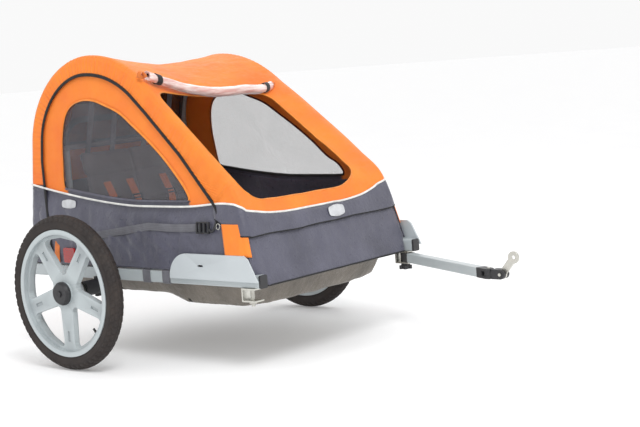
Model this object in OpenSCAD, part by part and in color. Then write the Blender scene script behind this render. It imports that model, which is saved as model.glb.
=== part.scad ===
// Two-seat child bicycle trailer with folding side arches, moulded wheels and a swinging tow arm.
// The trailer faces -Y, its left side is +X, +Z is up and the wheels stand on z = 0.
// The axle line is at y = 0 before the whole model is shifted so that its box is centred.

/* [Wheels] */
// distance from the middle plane to each wheel's centre plane
half_track = 460; // [420:5:480]
// outer radius of the tyre
tyre_r = 200; // [180:1:210]
// width of the tyre
tyre_w = 46; // [40:1:52]
// number of moulded spokes
spokes = 5; // [3:1:6]
// radius of the black hub cap
cap_r = 30; // [24:1:36]
// travel of the wheel's release button
button_travel = 3; // [2:0.5:5]

/* [Chassis] */
// distance from the middle plane to each side rail's centre
rail_x = 303; // [280:1:320]
// height of the side rails' centre line
rail_z = 226; // [210:1:240]
// width of a rail
rail_w = 25; // [20:1:30]
// height of a rail
rail_h = 32; // [26:1:38]
// front end of the rails
rail_front = -535; // [-560:5:-500]
// rear end of the rails
rail_rear = 345; // [330:5:370]
// height of the floor tub's underside
tub_z = 166; // [150:1:190]

/* [Arches] */
// outer diameter of the arch tubes
arch_d = 20; // [16:1:25]
// wall of the arch tubes
arch_wall = 1.5; // [1:0.1:2.5]
// height of the right arch's top centre line
arch_top = 780; // [740:5:820]
// how much smaller the left arch is, so that it folds inside the right one
nest = 22; // [20:1:36]
// height of the right arch's hinge line
right_hinge_z = 312; // [300:1:330]
// height of the left arch's hinge line
left_hinge_z = 264; // [262:1:270]
// distance from the middle plane to the hinge lines
hinge_x = 298; // [290:1:302]
// inward lean of the arches
lean = 6.2; // [4:0.1:8]

/* [Tow arm] */
// side of the square arm tube
arm_w = 25; // [22:1:30]
// height of the arm's centre line
arm_z = 193; // [188:1:198]
// forward end of the arm, measured ahead of the axle line
hitch_y = -975; // [-1000:5:-950]
// height of the bicycle axle's hole
hitch_z = 235; // [225:1:245]
// distance from the middle plane to the hitch plate
hitch_x = 120; // [100:1:130]
// radius of the hole for the bicycle's axle
axle_hole_r = 5.25; // [5.1:0.05:6]

/* [Soft parts] */
// thickness of the cloth as modelled
cloth = 3; // [2:0.5:4]
// diameter of the rolled rain shield
roll_d = 28; // [22:1:34]
// width of the webbing
webbing_w = 20; // [15:1:25]

/* [Hidden] */

$fn = 48;
cap_t = 6;
lug_r = 12;
// the box's middle lies this far ahead of the axle line
shift_y = (lug_r + 3 - hitch_y - rail_rear - cap_t) / 2;
axle_z = tyre_r;
rail_top = rail_z + rail_h / 2;
rail_low = rail_z - rail_h / 2;
rail_out = rail_x + rail_w / 2;
rail_in = rail_x - rail_w / 2;
arch_r = arch_d / 2;
// radial clearance of a pin in a turning part
run_gap = 0.05;
pin_r = 4;
eye_r = 9;
eye_l = 16;

// arch outline: three bends joined by straight runs, seen from the side
rear_y = 295;
bend_y = 85;
rear_bend = 210;
bend_z = arch_top - rear_bend;
front_bend = 330;
slope = 39;
slope_run = 392;
knee_bend = 120;
knee_turn = 36;
slope_n = [-sin(slope), cos(slope)];
slope_t = [-cos(slope), -sin(slope)];
front_centre = [bend_y, arch_top - front_bend];
knee_centre = front_centre + (front_bend - knee_bend) * slope_n + slope_run * slope_t;
leg_slant = slope + knee_turn;

// wheel sizes, along the axle measured outboard from the wheel's centre plane
tyre_section = tyre_w / 2;
tyre_mid_r = tyre_r - tyre_section;
rim_r = tyre_r - 36;
rim_half = 19;
disc_half = 8;
hub_r = 29;
hub_in = -30;
hub_out = 14;
axle_r = 6;
axle_out = 13;
cap_out = 28;
button_r = 8;
button_out = cap_out + button_travel;

// hinge stations along Y: the middle of each arch foot
function foot_y(inset, z) = knee_y(inset) + (z - knee_end_z(inset)) / tan(leg_slant);
function knee_y(inset) = knee_centre[0] - (knee_bend - inset) * sin(leg_slant);
function knee_end_z(inset) = knee_centre[1] + (knee_bend - inset) * cos(leg_slant);

// seat hoop
hoop_x = 200;
hoop_y = 265;
hoop_z = 232;
hoop_top = 620;
hoop_bend = 60;

// tow arm
pivot = [rail_x, -500];
yaw_pin = [hitch_x, -900];
arm_angle = atan2(yaw_pin[0] - pivot[0], pivot[1] - yaw_pin[1]);
arm_len = norm(yaw_pin - pivot);
pitch_y = -940;
boss_l = 34;
nose_l = 40;

// ---------- shared shapes ----------

// moves what is measured from the axle line to the model's own origin
module from_axle() {
    translate([0, shift_y, 0])
        children();
}

// rectangle with round corners, centred
module round_rect(w, h, r) {
    square([w - 2 * r, h], center = true);
    square([w, h - 2 * r], center = true);
    for (x = [-1, 1], y = [-1, 1])
        translate([x * (w / 2 - r), y * (h / 2 - r)])
            circle(r, $fn = 24);
}

// ring of a tube's section
module tube_ring(r, wall) {
    difference() {
        circle(r);
        circle(r - wall);
    }
}

// lengths of a tube are joined by short ferrules, with a small gap between them inside
ferrule_l = 8;
ferrule_lip = 0.2;
join_gap = 1;
module ferrule(r) {
    rotate([90, 0, 0])
        cylinder(h = ferrule_l, r = r + ferrule_lip, center = true);
}

// a straight run of tube along +Y, then whatever follows it
module straight(l, r, wall) {
    translate([0, join_gap, 0])
        rotate([-90, 0, 0])
            linear_extrude(l - 2 * join_gap)
                tube_ring(r, wall);
    translate([0, l, 0])
        children();
}

// a bend of tube to the left of +Y, then whatever follows it
module bend(radius, turn, r, wall) {
    gap_turn = join_gap / radius * 180 / PI;
    ferrule(r);
    translate([-radius, 0, 0]) {
        rotate([0, 0, gap_turn])
            rotate_extrude(angle = turn - 2 * gap_turn, $fn = 96)
                translate([radius, 0])
                    tube_ring(r, wall);
        rotate([0, 0, turn])
            translate([radius, 0, 0]) {
                ferrule(r);
                children();
            }
    }
}

// both sides of the trailer: children are drawn for the left, then mirrored
module both_sides() {
    children();
    mirror([1, 0, 0])
        children();
}

// a part of the wheel: +Z of the child points outboard
module on_wheel(side) {
    translate([side * half_track, 0, axle_z])
        rotate([0, side * 90, 0])
            children();
}

// cylinder along X
module rod_x(r, l) {
    rotate([0, 90, 0])
        cylinder(h = l, r = r, center = true);
}

// cylinder along Y
module rod_y(r, l) {
    rotate([90, 0, 0])
        cylinder(h = l, r = r, center = true);
}

// ---------- arch outline for the cloth ----------

// points on the arch's side view, from the rear foot over the top to the front foot;
// inset is how far they lie inside the right arch's centre line
function arc(c, r, a0, a1, n) = [for (i = [0:n]) let (a = a0 + (a1 - a0) * i / n) c + r * [cos(a), sin(a)]];
function outline(inset, z0) = concat(
    [for (i = [0:5]) [rear_y - inset, z0 + (bend_z - z0) * i / 6]],
    arc([bend_y, bend_z], rear_bend - inset, 0, 90, 9),
    arc(front_centre, front_bend - inset, 96, 90 + slope, 5),
    [for (i = [1:5]) front_centre + (front_bend - inset) * slope_n + slope_run * i / 6 * slope_t],
    arc(knee_centre, knee_bend - inset, 90 + slope, 90 + leg_slant, 4),
    [for (i = [1:3]) let (z = knee_end_z(inset) + (z0 - knee_end_z(inset)) * i / 3) [foot_y(inset, z), z]]
);
// a point of a leaning side: side is -1 for the right and 1 for the left, out is outboard of the arch
function hinge_height(side) = side < 0 ? right_hinge_z : left_hinge_z;
function side_inset(side) = side < 0 ? 0 : nest;
function leaned(side, p, out) =
    let (h = p[1] - hinge_height(side))
    [side * (hinge_x - h * sin(lean) + out * cos(lean)), p[0], p[1] + out * sin(lean)];

// child drawn in the plane of a leaning side: X outboard, Y and Z as in the trailer
module leaning_side(side) {
    scale([side, 1, 1])
        translate([hinge_x, 0, hinge_height(side)])
            rotate([0, -lean, 0])
                translate([0, 0, -hinge_height(side)])
                    children();
}

// flat cloth on a leaning side: a shape of the side view from out to out + t outboard of the arch
module side_cloth(side, out, t) {
    leaning_side(side)
        translate([out, 0, 0])
            rotate([90, 0, 90])
                linear_extrude(t)
                    children();
}

// cloth between the two sides: rows are pairs of points (right, left), cuts are places across
sag_depth = 26;
function across(a, b, t, sag) = a + (b - a) * t - [0, 0, sag * 4 * t * (1 - t)];
module cross_cloth(outer, inner, cuts, sag) {
    n = len(outer);
    m = len(cuts);
    top = [for (i = [0:n - 1], t = cuts) across(outer[i][0], outer[i][1], t, sag[i])];
    low = [for (i = [0:n - 1], t = cuts) across(inner[i][0], inner[i][1], t, sag[i])];
    k = n * m;
    grid = [for (i = [0:n - 2], j = [0:m - 2]) [i * m + j, i * m + j + 1, (i + 1) * m + j + 1, (i + 1) * m + j]];
    lids = concat(
        [for (q = grid) [q[0], q[1], q[2]]],
        [for (q = grid) [q[0], q[2], q[3]]],
        [for (q = grid) [q[2] + k, q[1] + k, q[0] + k]],
        [for (q = grid) [q[3] + k, q[2] + k, q[0] + k]]
    );
    rim = concat(
        [for (j = [0:m - 2]) [j + 1, j, j + k]],
        [for (j = [0:m - 2]) [j + 1, j + k, j + 1 + k]],
        [for (j = [0:m - 2]) let (s = (n - 1) * m) [s + j, s + j + 1, s + j + k]],
        [for (j = [0:m - 2]) let (s = (n - 1) * m) [s + j + 1, s + j + 1 + k, s + j + k]],
        [for (i = [0:n - 2]) [i * m, (i + 1) * m, (i + 1) * m + k, i * m + k]],
        [for (i = [0:n - 2]) let (s = m - 1) [(i + 1) * m + s, i * m + s, i * m + s + k, (i + 1) * m + s + k]]
    );
    polyhedron(concat(top, low), concat(lids, rim));
}

cover_gap = 3;
// the side walls stop this far short of the cover
wall_gap = 0.8;
cover_in = arch_r + cover_gap;
cover_out = cover_in + cloth;
cover_low = 250;
cover_right = [for (p = outline(-cover_out, cover_low)) leaned(-1, p, cover_out)];
cover_left = [for (p = outline(nest - cover_out, cover_low)) leaned(1, p, cover_out)];
lining_right = [for (p = outline(-cover_in, cover_low)) leaned(-1, p, cover_out)];
lining_left = [for (p = outline(nest - cover_in, cover_low)) leaned(1, p, cover_out)];
// rows of the outline: the rear panel's top, the opening's two ends and the front panel's top
row_rear = 4;
row_roll = 22;
row_sill = 29;
row_front = 31;
last_row = len(cover_right) - 1;
roof_cuts = [0, 0.1, 0.3, 0.5, 0.7, 0.9, 1];
// rows between which the roof sags in full
row_sag = 15;
row_flat = 8;
function roof_sag(i) =
    i < row_flat || i >= row_sill ? 0
    : i < row_sag ? sag_depth * sin(90 * (i - row_flat) / (row_sag - row_flat))
    : sag_depth * min(1, (row_sill - i) / (row_sill - row_roll));
module cover_rows(first, last, from, to) {
    rows = [first:last];
    cross_cloth(
        [for (i = rows) [cover_right[i], cover_left[i]]],
        [for (i = rows) [lining_right[i], lining_left[i]]],
        [for (t = roof_cuts) if (t >= from && t <= to) t],
        [for (i = rows) roof_sag(i)]
    );
}

// ---------- chassis ----------

module side_rails() {
    color([0.74, 0.77, 0.77]) from_axle()
        both_sides()
            translate([rail_x, rail_rear, rail_z])
                rotate([90, 0, 0])
                    linear_extrude(rail_rear - rail_front)
                        difference() {
                            round_rect(rail_w, rail_h, 4);
                            round_rect(rail_w - 4, rail_h - 4, 2.5);
                        }
}

// end caps over the rails' ends
module rail_caps() {
    color([0.1, 0.1, 0.11]) from_axle()
        both_sides()
            for (y = [rail_rear + cap_t, rail_front])
                translate([rail_x, y, rail_z])
                    rotate([90, 0, 0])
                        linear_extrude(cap_t)
                            round_rect(rail_w, rail_h, 4);
}

// front and rear cross tubes between the rails
cross_r = 10;
cross_front = -487;
cross_rear = 334;
module cross_tubes() {
    color([0.74, 0.77, 0.77]) from_axle()
        for (y = [cross_front, cross_rear])
            translate([-rail_in, y, rail_z])
                rotate([0, 90, 0])
                    linear_extrude(2 * rail_in)
                        tube_ring(cross_r, 1.8);
}

// moulded carriers that hold the stub axles outboard of the rails
carrier_out = 410;
carrier_r = 20;
flange_t = 6;
flange_l = 68;
module axle_carriers() {
    color([0.12, 0.12, 0.13]) from_axle()
        both_sides()
            difference() {
                union() {
                    translate([rail_out, -flange_l / 2, rail_low - 26])
                        cube([flange_t, flange_l, rail_h + 24]);
                    translate([(rail_out + carrier_out) / 2, 0, axle_z])
                        rod_x(carrier_r, carrier_out - rail_out);
                    translate([rail_out, -5, axle_z - 26])
                        cube([50, 10, 52]);
                }
                translate([0, 0, axle_z])
                    rod_x(axle_r, 2 * (carrier_out + 1));
            }
}

// notched plates on the carriers, behind the axles
plate_l = 32;
module axle_plates() {
    color([0.62, 0.65, 0.66]) from_axle()
        both_sides()
            translate([rail_out + flange_t, carrier_r + 1, axle_z - 10])
                difference() {
                    cube([5, plate_l, 28]);
                    for (y = [8, 24])
                        translate([2.5, y, 28])
                            rod_x(5, 8);
                }
}

// stub axles with a spacer collar against each wheel's hub
collar_r = 11;
module stub_axles() {
    color([0.7, 0.7, 0.72]) from_axle()
        for (side = [-1, 1])
            on_wheel(side) {
                translate([0, 0, rail_out + 10 - half_track])
                    cylinder(h = axle_out - rail_out - 10 + half_track, r = axle_r);
                translate([0, 0, carrier_out - half_track])
                    cylinder(h = half_track - carrier_out + hub_in - 0.2, r = collar_r);
            }
}

// clevis of two ears along Y that carries one foot of an arch
ear_t = 3;
ear_gap = 0.4;
foot_span = eye_l + 2 * ear_gap + 2 * ear_t;
module arch_clevis(side, y, z) {
    for (k = [-1, 1])
        translate([side * hinge_x, y + k * (foot_span - ear_t) / 2, 0])
            difference() {
                union() {
                    translate([0, 0, z])
                        rod_y(eye_r, ear_t);
                    translate([-eye_r, -ear_t / 2, rail_top])
                        cube([2 * eye_r, ear_t, z - rail_top]);
                }
                translate([0, 0, z])
                    rod_y(pin_r, ear_t + 1);
            }
    translate([side * hinge_x - eye_r, y - foot_span / 2, rail_top])
        cube([2 * eye_r, foot_span, 4]);
}
function feet(side) = [rear_y - side_inset(side), foot_y(side_inset(side), hinge_height(side))];
module arch_brackets_right() {
    color([0.15, 0.15, 0.16]) from_axle()
        for (y = feet(-1))
            arch_clevis(-1, y, right_hinge_z);
}
module arch_brackets_left() {
    color([0.15, 0.15, 0.16]) from_axle()
        for (y = feet(1))
            arch_clevis(1, y, left_hinge_z);
}
module arch_pins() {
    color([0.8, 0.8, 0.82]) from_axle()
        for (side = [-1, 1], y = feet(side))
            translate([side * hinge_x, y, hinge_height(side)])
                rod_y(pin_r, foot_span + 0.6);
}

// clevises on the rear cross tube for the seat hoop
hoop_eye_r = 10;
hoop_eye_l = 18;
hoop_span = hoop_eye_l + 2 * ear_gap + 2 * ear_t;
module hoop_brackets() {
    color([0.15, 0.15, 0.16]) from_axle()
        for (side = [-1, 1], k = [-1, 1])
            translate([side * hoop_x + k * (hoop_span - ear_t) / 2, 0, 0])
                difference() {
                    union() {
                        translate([0, hoop_y, hoop_z])
                            rod_x(hoop_eye_r, ear_t);
                        translate([-ear_t / 2, hoop_y, hoop_z - hoop_eye_r])
                            cube([ear_t, cross_rear - hoop_y, 2 * hoop_eye_r - 6]);
                    }
                    translate([0, hoop_y, hoop_z])
                        rod_x(pin_r, ear_t + 1);
                    translate([0, cross_rear, rail_z])
                        rod_x(cross_r, ear_t + 1);
                }
}
module hoop_pins() {
    color([0.8, 0.8, 0.82]) from_axle()
        for (side = [-1, 1])
            translate([side * hoop_x, hoop_y, hoop_z])
                rod_x(pin_r, hoop_span + 2);
}

// moulded guards over the front of the rails, with a return across the rail's end
guard_rear = -240;
guard_front = rail_front - cap_t - 0.5;
guard_top = 290;
guard_curve = 62;
guard_t = 5;
guard_low = 226;
guard_gap = 6;
module side_guards() {
    color([0.68, 0.71, 0.72]) from_axle()
        both_sides() {
            translate([rail_out, guard_front + 30, guard_low])
                cube([guard_gap, guard_rear - guard_front - 70, 14]);
            translate([rail_out + guard_gap, 0, 0])
                rotate([90, 0, 90])
                    linear_extrude(guard_t)
                        difference() {
                            union() {
                                polygon([
                                    [guard_front, guard_low], [guard_front + 30, guard_top - 8],
                                    [guard_front + 42, guard_top], [guard_rear - guard_curve, guard_top],
                                    [guard_rear, guard_low]
                                ]);
                                translate([guard_rear - guard_curve, guard_low])
                                    intersection() {
                                        scale([guard_curve / (guard_top - guard_low), 1])
                                            circle(guard_top - guard_low);
                                        square([guard_curve, guard_top - guard_low]);
                                    }
                            }
                            translate([-360, 258])
                                square([18, 5]);
                        }
        }
}

// U brackets under the rails' front ends; the left one holds the tow arm
bracket_w = 32;
bracket_l = 44;
plate_t = 4;
bracket_low = arm_z - arm_w / 2 - 0.5 - plate_t;
module tow_brackets() {
    color([0.66, 0.66, 0.64]) from_axle()
        both_sides()
            difference() {
                translate([rail_x - bracket_w / 2, pivot[1] - bracket_l / 2, bracket_low])
                    cube([bracket_w, bracket_l, rail_low - bracket_low]);
                translate([rail_x - bracket_w, pivot[1] - bracket_l, bracket_low + plate_t])
                    cube([2 * bracket_w, 2 * bracket_l - bracket_l / 2 - plate_t, arm_w + 1]);
                translate([rail_x, pivot[1], bracket_low - 1])
                    cylinder(h = rail_low - bracket_low + 2, r = 5);
            }
}

// bolts through the U brackets, head up under the rail on the spare side
bolt_r = 5;
bolt_end = bracket_low - 12;
module tow_bolts() {
    color([0.8, 0.8, 0.8]) from_axle()
        both_sides()
            translate([rail_x, pivot[1], 0]) {
                translate([0, 0, bolt_end])
                    cylinder(h = rail_low - 0.2 - bolt_end, r = bolt_r);
            }
    color([0.8, 0.8, 0.8]) from_axle()
        translate([-rail_x, pivot[1], bracket_low - 6])
            difference() {
                cylinder(h = 6, r = 9, $fn = 6);
                translate([0, 0, -1])
                    cylinder(h = 8, r = bolt_r);
            }
}

// shallow sling of the floor between the rails
tub_front = -468;
tub_rear = 278;
tub_x = rail_in - 2;
tub_rim = rail_z + 8;
tub_back = 214;
foot_z = 142;
foot_rear = -230;
module floor_tub() {
    color([0.37, 0.35, 0.32]) from_axle()
        translate([-tub_x, 0, 0])
            rotate([90, 0, 90])
                difference() {
                    linear_extrude(2 * tub_x)
                        polygon([
                            [tub_front, tub_rim], [tub_front + 10, foot_z + 20], [tub_front + 50, foot_z],
                            [foot_rear, foot_z], [foot_rear + 90, tub_z], [tub_rear - 40, tub_z],
                            [tub_rear - 4, tub_z + 12], [tub_rear, tub_back],
                            [tub_rear - 40, tub_back + 12], [tub_rear - 60, tub_rim]
                        ]);
                    translate([0, 0, cloth])
                        linear_extrude(2 * tub_x - 2 * cloth)
                            polygon([
                                [tub_front + cloth, tub_rim + 1], [tub_front + cloth + 10, foot_z + 22],
                                [tub_front + 52, foot_z + cloth], [foot_rear - 1, foot_z + cloth],
                                [foot_rear + 89, tub_z + cloth], [tub_rear - 41, tub_z + cloth],
                                [tub_rear - cloth - 4, tub_z + 14], [tub_rear - cloth, tub_back + 2],
                                [tub_rear - cloth, tub_rim + 1]
                            ]);
                }
}

// webbing loops round the rails
loop_ys = [-144, -216];
loop_w = 28;
module rail_loops() {
    color([0.42, 0.42, 0.45]) from_axle()
        both_sides()
            for (y = loop_ys)
                translate([rail_x, y + loop_w / 2, rail_z])
                    rotate([90, 0, 0])
                        linear_extrude(loop_w)
                            difference() {
                                round_rect(rail_w + 3, rail_h + 3, 5.5);
                                round_rect(rail_w, rail_h, 4);
                            }
}

// round reflectors beside the rear foot of each arch
reflector_w = 44;
reflector_h = 40;
reflector_y = 146;
module rear_reflectors() {
    color([0.7, 0.08, 0.08]) from_axle()
        both_sides()
            translate([rail_out + 2.5, reflector_y, rail_top + 8 + reflector_h / 2])
                rotate([90, 0, 90])
                    linear_extrude(6)
                        round_rect(reflector_w, reflector_h, 6);
}

// ---------- folding frame ----------

// a thin neck and a solid plug join the hinge eye to the hollow tube
neck_l = 16;
neck_r = 5;
plug_l = 10;
module arch_tube(inset, z) {
    rise = bend_z - z;
    fall = (knee_end_z(inset) - z) / sin(leg_slant);
    translate([0, rear_y - inset, z])
        rotate([90, 0, 90])
            translate([0, neck_l + plug_l, 0])
                straight(rise - neck_l - plug_l, arch_r, arch_wall)
                    bend(rear_bend - inset, 90, arch_r, arch_wall)
                        bend(front_bend - inset, slope, arch_r, arch_wall)
                            straight(slope_run, arch_r, arch_wall)
                                bend(knee_bend - inset, knee_turn, arch_r, arch_wall)
                                    straight(fall - neck_l - plug_l, arch_r, arch_wall);
}
// hinge eye, neck and the plug that holds the tube; tilt is the leg's slant from upright
module arch_foot(y, z, tilt) {
    translate([0, y, z])
        difference() {
            union() {
                rod_y(eye_r, eye_l);
                rotate([-tilt, 0, 0]) {
                    cylinder(h = neck_l, r = neck_r);
                    translate([0, 0, neck_l])
                        cylinder(h = plug_l + ferrule_l / 2, r = arch_r + ferrule_lip);
                }
            }
            rod_y(pin_r + run_gap, eye_l + 1);
        }
}
module folding_arch(side) {
    leaning_side(side) {
        arch_tube(side_inset(side), hinge_height(side));
        arch_foot(feet(side)[0], hinge_height(side), 0);
        arch_foot(feet(side)[1], hinge_height(side), 90 - leg_slant);
    }
}
module arch_right() {
    color([0.74, 0.77, 0.77]) from_axle()
        folding_arch(-1);
}
module arch_left() {
    color([0.74, 0.77, 0.77]) from_axle()
        folding_arch(1);
}

// upright hoop behind the seat back, with an eye, a neck and a plug at each foot
hoop_tube_r = arch_r - 1;
hoop_foot = neck_l + plug_l;
module seat_hoop() {
    rise = hoop_top - hoop_z - hoop_bend - hoop_foot;
    color([0.74, 0.77, 0.77]) from_axle() {
        translate([-hoop_x, hoop_y, hoop_z])
            rotate([90, 0, 0])
                translate([0, hoop_foot, 0])
                    mirror([1, 0, 0])
                        straight(rise, hoop_tube_r, arch_wall)
                            bend(hoop_bend, 90, hoop_tube_r, arch_wall)
                                straight(2 * (hoop_x - hoop_bend), hoop_tube_r, arch_wall)
                                    bend(hoop_bend, 90, hoop_tube_r, arch_wall)
                                        straight(rise, hoop_tube_r, arch_wall);
        for (side = [-1, 1])
            translate([side * hoop_x, hoop_y, hoop_z])
                difference() {
                    union() {
                        rod_x(hoop_eye_r, hoop_eye_l);
                        cylinder(h = neck_l, r = neck_r);
                        translate([0, 0, neck_l])
                            cylinder(h = plug_l + ferrule_l / 2, r = hoop_tube_r + ferrule_lip);
                    }
                    rod_x(pin_r + run_gap, hoop_eye_l + 1);
                }
    }
}

// ---------- wheels ----------

module tyre(side) {
    color([0.16, 0.15, 0.14]) from_axle()
        on_wheel(side)
            rotate_extrude($fn = 128)
                difference() {
                    translate([tyre_mid_r, 0])
                        circle(tyre_section);
                    translate([tyre_mid_r - 1, 0])
                        circle(tyre_section - 4);
                    translate([rim_r - 60, -tyre_w])
                        square([60, 2 * tyre_w]);
                    for (z = [-7, 0, 7])
                        translate([tyre_r - 2, z - 1])
                            square([4, 2]);
                }
}
module tyre_right() {
    tyre(-1);
}
module tyre_left() {
    tyre(1);
}

// one opening between two spokes, pointing along +X
window_in = 60;
window_out = 133;
window_half = 22;
module wheel_window() {
    corner = window_out * [cos(window_half), sin(window_half)];
    translate([window_in, 0])
        circle(13);
    for (k = [-1, 1])
        translate([corner[0], k * corner[1]])
            circle(12);
    polygon([
        [window_in - 5, 12], [corner[0] - 7, corner[1] + 10], [corner[0] + 12, corner[1] - 2],
        [window_out + 9, 0], [corner[0] + 12, 2 - corner[1]], [corner[0] - 7, -corner[1] - 10],
        [window_in - 5, -12]
    ]);
}
// direction of the top opening in a wheel's own frame
function up_angle(side) = side < 0 ? 0 : 180;
// child drawn along the valve: +Z runs from the rim towards the hub
valve_turn = 135;
valve_r = 4;
valve_l = 16;
module on_valve(side) {
    rotate([0, 0, up_angle(side) + side * valve_turn])
        translate([rim_r - 13, 0, 0])
            rotate([0, -90, 0])
                children();
}
module wheel(side) {
    pitch = 360 / spokes;
    color([0.76, 0.79, 0.79]) from_axle()
        on_wheel(side)
            difference() {
                union() {
                    rotate_extrude($fn = 128)
                        difference() {
                            translate([rim_r - 13, -rim_half])
                                square([13, 2 * rim_half]);
                            translate([rim_r - 5, -11])
                                square([6, 22]);
                        }
                    difference() {
                        translate([0, 0, -disc_half])
                            cylinder(h = 2 * disc_half, r = rim_r - 10, $fn = 128);
                        for (i = [0:spokes - 1])
                            rotate([0, 0, up_angle(side) + pitch * i])
                                translate([0, 0, -disc_half - 1])
                                    linear_extrude(2 * disc_half + 2)
                                        wheel_window();
                    }
                    translate([0, 0, hub_in])
                        cylinder(h = hub_out - hub_in, r = hub_r);
                }
                translate([0, 0, hub_in - 1])
                    cylinder(h = hub_out - hub_in + 2, r = axle_r + run_gap);
                for (i = [0:spokes - 1])
                    rotate([0, 0, up_angle(side) + pitch * (i + 0.5)])
                        translate([100, -4, disc_half - 3])
                            cube([26, 8, 4]);
                on_valve(side)
                    cylinder(h = valve_l, r = valve_r + 0.1);
            }
}
module wheel_right() {
    wheel(-1);
}
module wheel_left() {
    wheel(1);
}

// inner tube's valve through the rim, ahead of the lowest spoke
module valve(side) {
    color([0.1, 0.1, 0.1]) from_axle()
        on_wheel(side)
            on_valve(side) {
                cylinder(h = valve_l, r = valve_r);
                translate([0, 0, valve_l])
                    cylinder(h = 10, r = valve_r - 1);
            }
}
module valve_right() {
    valve(-1);
}
module valve_left() {
    valve(1);
}

// domed cap over the hub with the release button's hole
cap_wall = 21;
module hub_cap(side) {
    color([0.08, 0.08, 0.09]) from_axle()
        on_wheel(side)
            rotate_extrude()
                polygon([
                    [button_r + 3, hub_out], [cap_r, hub_out], [cap_r, hub_out + 7], [cap_r - 5, cap_out],
                    [button_r + 0.08, cap_out], [button_r + 0.08, cap_wall], [button_r + 3, cap_wall]
                ]);
}
module hub_cap_right() {
    hub_cap(-1);
}
module hub_cap_left() {
    hub_cap(1);
}

// release button, held in by its flange
module release_button(side) {
    color([0.2, 0.2, 0.21]) from_axle()
        on_wheel(side) {
            translate([0, 0, cap_wall - 2.6])
                cylinder(h = 2.5, r = button_r + 2.8);
            translate([0, 0, cap_wall - 2.6])
                cylinder(h = button_out - cap_wall + 2.6, r = button_r);
        }
}
module release_button_right() {
    release_button(-1);
}
module release_button_left() {
    release_button(1);
}

// ---------- tow arm ----------

// child drawn along the arm: -Y points forward along it from the pivot
module on_arm() {
    translate([pivot[0], pivot[1], arm_z])
        rotate([0, 0, arm_angle])
            children();
}

module arm_boss() {
    color([0.13, 0.13, 0.14]) from_axle()
        on_arm()
            difference() {
                union() {
                    translate([0, 0, -arm_w / 2])
                        cylinder(h = arm_w, r = arm_w / 2);
                    translate([-arm_w / 2, -boss_l, -arm_w / 2])
                        cube([arm_w, boss_l, arm_w]);
                }
                cylinder(h = arm_w + 1, r = bolt_r + run_gap, center = true);
            }
}
module arm_tube() {
    color([0.6, 0.62, 0.62]) from_axle()
        on_arm()
            translate([0, -boss_l, 0])
                rotate([90, 0, 0])
                    linear_extrude(arm_len - boss_l - nose_l)
                        difference() {
                            round_rect(arm_w, arm_w, 3);
                            round_rect(arm_w - 4, arm_w - 4, 1.5);
                        }
}

// fork at the arm's end that holds the coupler
tongue_t = 11;
nose_pin_r = 4;
module arm_nose() {
    color([0.13, 0.13, 0.14]) from_axle()
        on_arm()
            translate([0, -arm_len, 0])
                difference() {
                    union() {
                        translate([0, 0, -arm_w / 2])
                            cylinder(h = arm_w, r = arm_w / 2);
                        translate([-arm_w / 2, 0, -arm_w / 2])
                            cube([arm_w, nose_l, arm_w]);
                    }
                    translate([-arm_w, -arm_w, -tongue_t / 2 - 0.2])
                        cube([2 * arm_w, arm_w + 16, tongue_t + 0.4]);
                    cylinder(h = arm_w + 1, r = nose_pin_r, center = true);
                }
}
module nose_pin() {
    color([0.8, 0.8, 0.8]) from_axle()
        translate([yaw_pin[0], yaw_pin[1], arm_z - arm_w / 2 - 2])
            cylinder(h = arm_w + 4, r = nose_pin_r);
}

// black coupler: a tongue on the arm's fork and cheeks for the hitch plate
cheek_w = 24;
plate_half = 2.5;
module coupler() {
    color([0.09, 0.09, 0.1]) from_axle()
        difference() {
            union() {
                translate([yaw_pin[0], yaw_pin[1], arm_z - tongue_t / 2])
                    cylinder(h = tongue_t, r = 12);
                translate([yaw_pin[0] - 8, yaw_pin[1] - 20, arm_z - tongue_t / 2])
                    cube([16, 20, tongue_t]);
                translate([yaw_pin[0] - cheek_w / 2, pitch_y, arm_z - 12])
                    cube([cheek_w, yaw_pin[1] - 15 - pitch_y, 24]);
                translate([yaw_pin[0], pitch_y, arm_z])
                    rod_x(12, cheek_w);
            }
            translate([yaw_pin[0], yaw_pin[1], arm_z - 10])
                cylinder(h = 20, r = nose_pin_r + run_gap);
            translate([yaw_pin[0] - plate_half - 0.3, pitch_y - 20, arm_z - 20])
                cube([2 * plate_half + 0.6, 34.5, 40]);
            translate([yaw_pin[0], pitch_y, arm_z])
                rod_x(pin_r, cheek_w + 2);
        }
}
module coupler_pin() {
    color([0.8, 0.8, 0.8]) from_axle()
        translate([yaw_pin[0], pitch_y, arm_z])
            rod_x(pin_r, cheek_w + 6);
}

// steel plate that goes on the bicycle's rear axle
web_half = 9;
module hitch_plate() {
    rise = hitch_z - arm_z;
    ahead = hitch_y - pitch_y;
    color([0.72, 0.72, 0.74]) from_axle()
        difference() {
            union() {
                translate([yaw_pin[0], pitch_y, arm_z])
                    rod_x(lug_r, 2 * plate_half);
                translate([yaw_pin[0], hitch_y, hitch_z])
                    rod_x(lug_r + 3, 2 * plate_half);
                translate([yaw_pin[0] - plate_half, pitch_y, arm_z])
                    rotate([atan2(rise, ahead), 0, 0])
                        translate([0, 0, -web_half])
                            cube([2 * plate_half, norm([rise, ahead]), 2 * web_half]);
            }
            translate([yaw_pin[0], pitch_y, arm_z])
                rod_x(pin_r + run_gap, 8);
            translate([yaw_pin[0], hitch_y, hitch_z])
                rod_x(axle_hole_r, 8);
        }
}

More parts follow.
